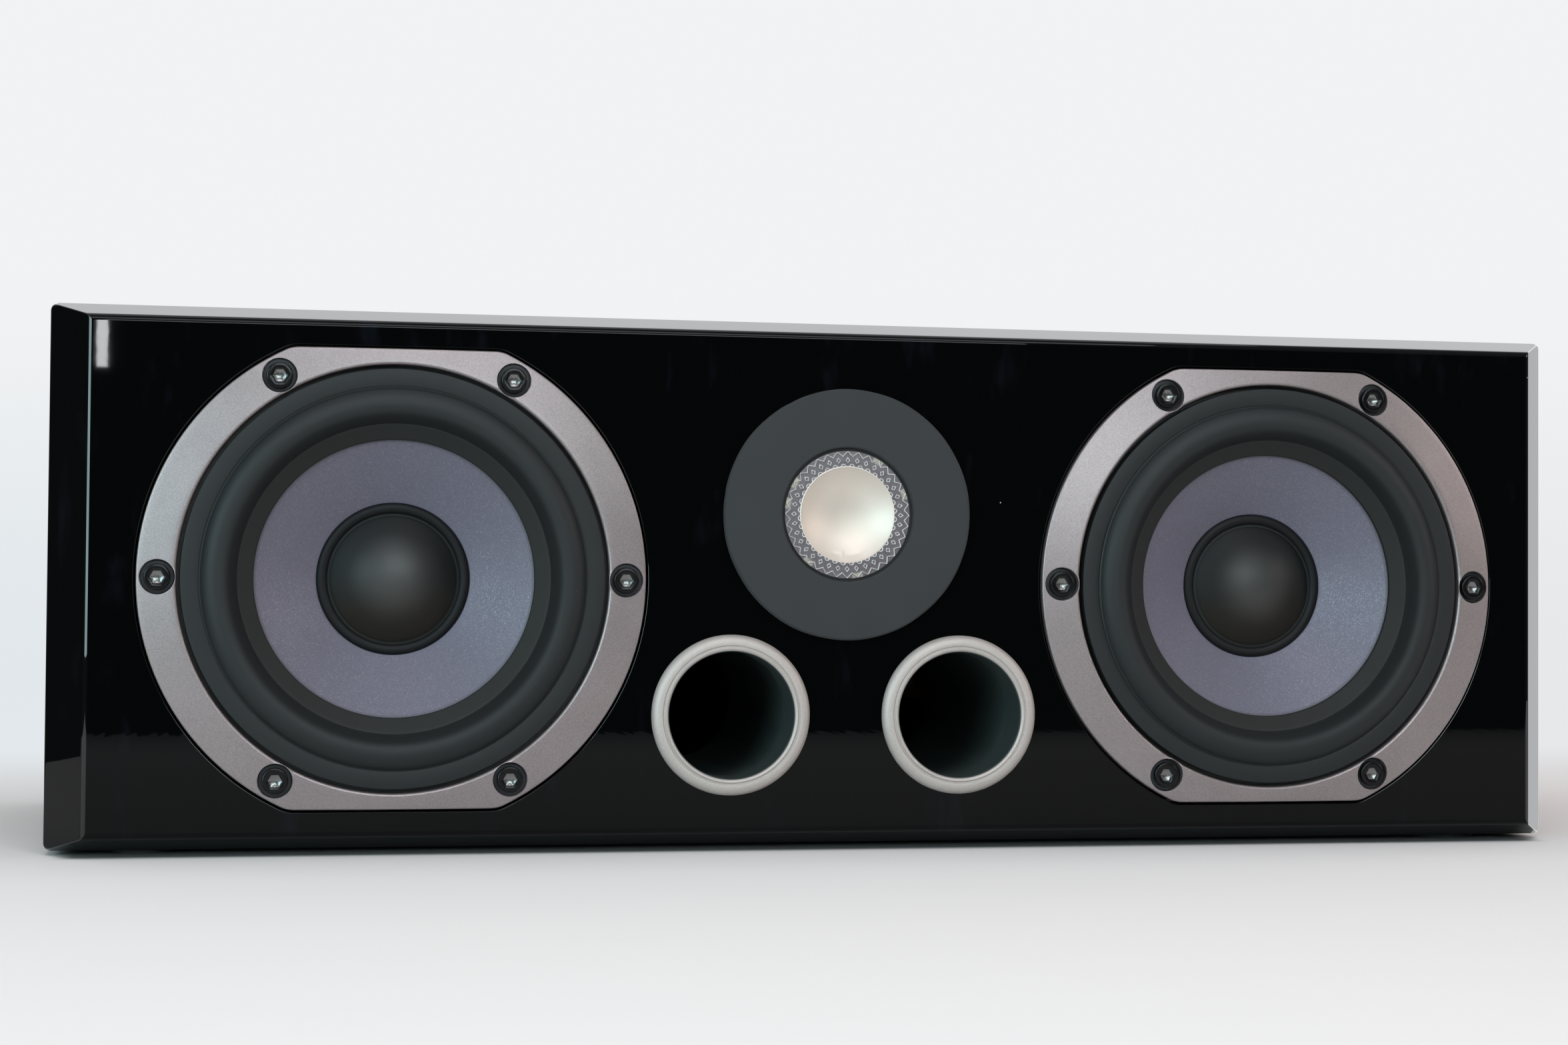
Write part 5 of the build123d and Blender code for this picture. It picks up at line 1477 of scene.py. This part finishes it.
class SPEAKER_OT_stage(bpy.types.Operator):
    """Lay the pale table and sweep, set the soft lights and the camera"""
    bl_idname = "speaker.stage"
    bl_label = "Stage"

    TABLE_REACH = 1.25
    TABLE_FRONT = -0.67
    TABLE_LEFT = -0.76
    TABLE_BACK = 0.05
    TABLE_SIDE = -0.085
    TABLE_WIDE = 0.2135
    SWEEP_REACH = 2.4
    SWEEP_HEIGHT = 3.0
    PAINTED_SHADOW_FRONT = (FACE_Y + 0.0005, FACE_Y + 0.009)
    PAINTED_SHADOW_BACK = (0.090, 0.098)
    PAINTED_SHADOW_SIDE = (0.206, 0.213)
    PAINTED_SHADE_NEAR = (-0.72, -0.50)
    FAR = (0.0, 0.38)
    NONE = (0.0, 0.0, 0.0)
    SIDE_SEAM = 1600
    FRONT_SEAM = 1800
    ARC_STEPS = 96

    def ripple(self, k):
        """Uneven edge between two parts of the table."""
        return 0.011 * sin(0.83 * k) + 0.010 * sin(1.31 * k + 1.3) + 0.008 * sin(0.41 * k + 0.5)

    def table_finish(self, s):
        """Pale top that turns into the sweep behind the speaker, where it glows as painted light, with a
        painted shadow under the speaker and painted shade towards the camera.
        """
        top = Finish("table_top")
        grain = top.noise(30.0, 3.0)
        tint = top.mix(grain, shaded(s.table, 0.985), s.table)
        across, along, _ = top.split(top.place())
        # Painted shadow: the table under the speaker is dark.
        under = top.step(along, *self.PAINTED_SHADOW_FRONT) * (1 - top.step(along, *self.PAINTED_SHADOW_BACK))
        under = under * (1 - top.step(abs(across), *self.PAINTED_SHADOW_SIDE))
        far = top.step(along, *self.FAR)
        # Painted shade: the front of the table, towards the camera, is darker.
        tint = top.mix(1 - top.step(along, *self.PAINTED_SHADE_NEAR), tint, (0.36, 0.37, 0.38))
        base = top.mix(far, top.mix(under, tint, (0.24, 0.24, 0.24)), self.NONE)
        return top.surface(
            Base_Color=base,
            Roughness=0.8 + grain * 0.1,
            # Painted light: behind the speaker the table glows like the foot of the sweep.
            Emission_Color=top.mix(far, self.NONE, self.painted_foot_glow(top, across)),
            Emission_Strength=1.0,
            Specular_IOR_Level=0.0,
        )

    def painted_foot_glow(self, finish, across):
        """Painted light at the foot of the sweep: cooler at the left."""
        to_right = finish.step(across, -0.7, 0.7)
        return finish.mix(to_right, (0.745, 0.800, 0.830), (0.800, 0.805, 0.825))

    def table(self, s):
        """Round table top in three parts; only the one beside the speaker is seen in reflections."""
        material = self.table_finish(s)
        reach = self.TABLE_REACH
        right = asin(self.TABLE_FRONT / reach)
        left = acos(self.TABLE_LEFT / reach)
        side = asin(self.TABLE_SIDE / reach)
        notch = [(self.TABLE_WIDE, self.TABLE_SIDE, 0), (self.TABLE_WIDE, self.TABLE_BACK, 0)]
        seam = []
        for k in range(1, self.SIDE_SEAM):
            run = k / self.SIDE_SEAM
            depth = reach * sin(left) + (self.TABLE_FRONT - reach * sin(left)) * run
            seam.append((self.TABLE_LEFT + self.ripple(k) * (1 - run), depth, 0))
        cut = sum(1 for point in seam if point[1] > self.TABLE_BACK)
        for k in range(self.FRONT_SEAM):
            run = k / self.FRONT_SEAM
            width = self.TABLE_LEFT + (reach * cos(right) - self.TABLE_LEFT) * run
            seam.append((width, self.TABLE_FRONT + self.ripple(k) * (1 - run ** 8), 0))
        parts = (
            ("table", right, side, notch + seam[cut:]),
            ("table_back", side, left, seam[:cut + 1] + notch[::-1]),
            ("table_front", right + 2 * pi, left, seam),
        )
        for name, first, last, edge in parts:
            skin = Skin()
            angles = [first + (last - first) * k / self.ARC_STEPS for k in range(self.ARC_STEPS + 1)]
            arc = [(reach * cos(a), reach * sin(a), 0) for a in angles]
            skin.mesh.faces.new(skin.loop(arc + edge))
            part = skin.piece(name)
            part.data.materials.append(material)
            part.visible_glossy = name == "table"

    def sweep(self):
        """Pale sweep round the table that only the camera sees; it glows as painted light, paler higher up.
        """
        skin = Skin()
        bend = self.SWEEP_REACH - self.TABLE_REACH
        bend_steps = 12
        rows = [(self.TABLE_REACH - 0.01, -0.0005)]
        for k in range(bend_steps + 1):
            a = k / bend_steps * pi / 2
            rows.append((self.TABLE_REACH + bend * sin(a), bend * (1 - cos(a))))
        rows.append((self.SWEEP_REACH, self.SWEEP_HEIGHT))
        angles = [2 * pi * i / self.ARC_STEPS for i in range(self.ARC_STEPS)]
        loops = []
        for radius, height in rows:
            loops.append(skin.loop([(radius * cos(a), radius * sin(a), height) for a in angles]))
        skin.chain(loops)
        skin.close(loops[-1], (0, 0, self.SWEEP_HEIGHT))
        sweep = skin.piece("sweep")
        pale = Finish("sweep_pale")
        across, _, up = pale.split(pale.place())
        # Painted light: the sweep is paler higher up.
        high = pale.step(up, -0.02, 0.42)
        pale.surface(
            Base_Color=self.NONE,
            Specular_IOR_Level=0.0,
            Roughness=1.0,
            Emission_Color=pale.mix(high, self.painted_foot_glow(pale, across), (0.885, 0.892, 0.905)),
            Emission_Strength=1.0,
        )
        sweep.data.materials.append(pale.material)
        sweep.visible_diffuse = False
        sweep.visible_glossy = False
        sweep.visible_shadow = False
        sweep.visible_transmission = False

    def lights(self, s):
        """Soft boxes round the speaker, each aimed at a place on or near its face."""
        aim = (0.0, FACE_Y, 0.08)
        aim_left, aim_right = (-0.1, FACE_Y, 0.08), (0.1, FACE_Y, 0.10)
        aim_corner = (-0.2, FACE_Y, 0.14)
        boxes = (
            ("top_box", s.top, (0.0, 0.10, 1.35), self.NONE, (1.2, 0.5), (1.0, 1.0, 1.0)),
            ("fill_box", s.fill, (0.10, -1.60, 0.48), aim, (0.8, 0.24), (0.85, 0.98, 1.0)),
            ("front_box", s.front, (0.0, -1.05, 1.05), aim, (1.1, 0.45), (0.945, 0.935, 1.0)),
            ("left_box", s.side, (-1.25, -1.19, 0.41), aim_left, (1.05, 0.82), (0.68, 0.95, 1.0)),
            ("right_lamp", s.lamp, (1.56, -0.95, 0.61), aim_right, (0.13, 0.64), (1.0, 0.89, 0.84)),
            ("window", s.window, (-0.3075, -1.75, 0.30), aim_corner, (0.0095, 0.072), (0.96, 0.98, 1.0)),
        )
        for name, power, place, target, size, tint in boxes:
            data = bpy.data.lights.new(name, "AREA")
            data.shape = "RECTANGLE"
            data.size, data.size_y = size
            data.energy = power
            data.color = tint
            lamp = bpy.data.objects.new(name, data)
            lamp.location = place
            lamp.rotation_euler = (Vector(target) - Vector(place)).to_track_quat("-Z", "Y").to_euler()
            lamp.visible_camera = False
            bpy.context.scene.collection.objects.link(lamp)

    def world(self):
        """Even soft light; in reflections the room before the speaker stays dark."""
        world = bpy.data.worlds.new("studio")
        world.use_nodes = True
        room = Finish("studio", world.node_tree)
        shader = world.node_tree.nodes["Background"]
        across, ahead, up = room.split(room.add("ShaderNodeTexCoord").outputs["Generated"])
        high = room.step(up, 0.12, 0.55)
        behind = room.step(across * 0.26 + ahead * 0.966, 0.40, 0.62)
        beside = room.step(across, 0.50, 0.80) * behind
        mirrored = 0.06 + high * (0.42 + behind * 0.36) + behind * 0.92 + beside * 0.45
        soft = 0.14 + high * 0.31 + behind * 0.225
        glossy = room.value(room.add("ShaderNodeLightPath"), "Is Glossy Ray")
        room.feed(shader, {
            "Color": room.mix(glossy, (1.0, 0.90, 0.86), (0.96, 0.98, 1.0)),
            "Strength": glossy * mirrored + (1 - glossy) * soft,
        })
        bpy.context.scene.world = world

    def camera(self, s):
        """Camera at the photograph's viewing angle."""
        data = bpy.data.cameras.new("camera")
        data.lens = s.lens
        data.sensor_width = 36.0
        data.clip_start, data.clip_end = 0.05, 20.0
        ahead = Vector((sin(s.yaw) * cos(s.pitch), cos(s.yaw) * cos(s.pitch), sin(s.pitch)))
        right = ahead.cross(Vector((0, 0, 1))).normalized()
        down = ahead.cross(right)
        level_right = right * cos(s.roll) + down * sin(s.roll)
        level_up = right * sin(s.roll) - down * cos(s.roll)
        turn = Matrix((level_right, level_up, -ahead)).transposed().to_4x4()
        x, z = TWEETER
        eye = Vector((x, FACE_Y, z)) + Vector(s.eye) * MM
        camera = bpy.data.objects.new("camera", data)
        camera.matrix_world = Matrix.Translation(eye) @ turn
        bpy.context.scene.collection.objects.link(camera)
        bpy.context.scene.camera = camera

    def execute(self, context):
        s = context.scene.speaker_stage
        self.table(s)
        self.sweep()
        self.lights(s)
        self.world()
        self.camera(s)
        context.scene.view_settings.view_transform = "Standard"
        return {"FINISHED"}


OPERATORS = (
    SPEAKER_OT_cabinet,
    SPEAKER_OT_feet,
    SPEAKER_OT_trim_rings,
    SPEAKER_OT_screws,
    SPEAKER_OT_surrounds,
    SPEAKER_OT_cones,
    SPEAKER_OT_dust_caps,
    SPEAKER_OT_tweeter_cover,
    SPEAKER_OT_tweeter_dome,
    SPEAKER_OT_ports,
    SPEAKER_OT_terminals,
    SPEAKER_OT_inner_works,
    SPEAKER_OT_stage,
)


class SPEAKER_PT_panel(bpy.types.Panel):
    """Sidebar panel that lists the speaker's pieces"""
    bl_idname = "SPEAKER_PT_panel"
    bl_label = "Center Channel Speaker"
    bl_space_type = "VIEW_3D"
    bl_region_type = "UI"
    bl_category = "Speaker"

    def draw(self, context):
        for operator in OPERATORS:
            self.layout.operator(operator.bl_idname)
        for name, group in SETTINGS.items():
            box = self.layout.box()
            for key in group.__annotations__:
                box.prop(getattr(context.scene, name), key)


def register():
    for group in SETTINGS.values():
        bpy.utils.register_class(group)
    for name, group in SETTINGS.items():
        setattr(bpy.types.Scene, name, PointerProperty(type=group))
    for operator in OPERATORS:
        bpy.utils.register_class(operator)
    bpy.utils.register_class(SPEAKER_PT_panel)


def unregister():
    bpy.utils.unregister_class(SPEAKER_PT_panel)
    for operator in reversed(OPERATORS):
        bpy.utils.unregister_class(operator)
    for name in SETTINGS:
        delattr(bpy.types.Scene, name)
    for group in SETTINGS.values():
        bpy.utils.unregister_class(group)


def main():
    """Build everything in order."""
    register()
    for operator in OPERATORS:
        area, name = operator.bl_idname.split(".")
        getattr(getattr(bpy.ops, area), name)()


if __name__ == "__main__":
    main()
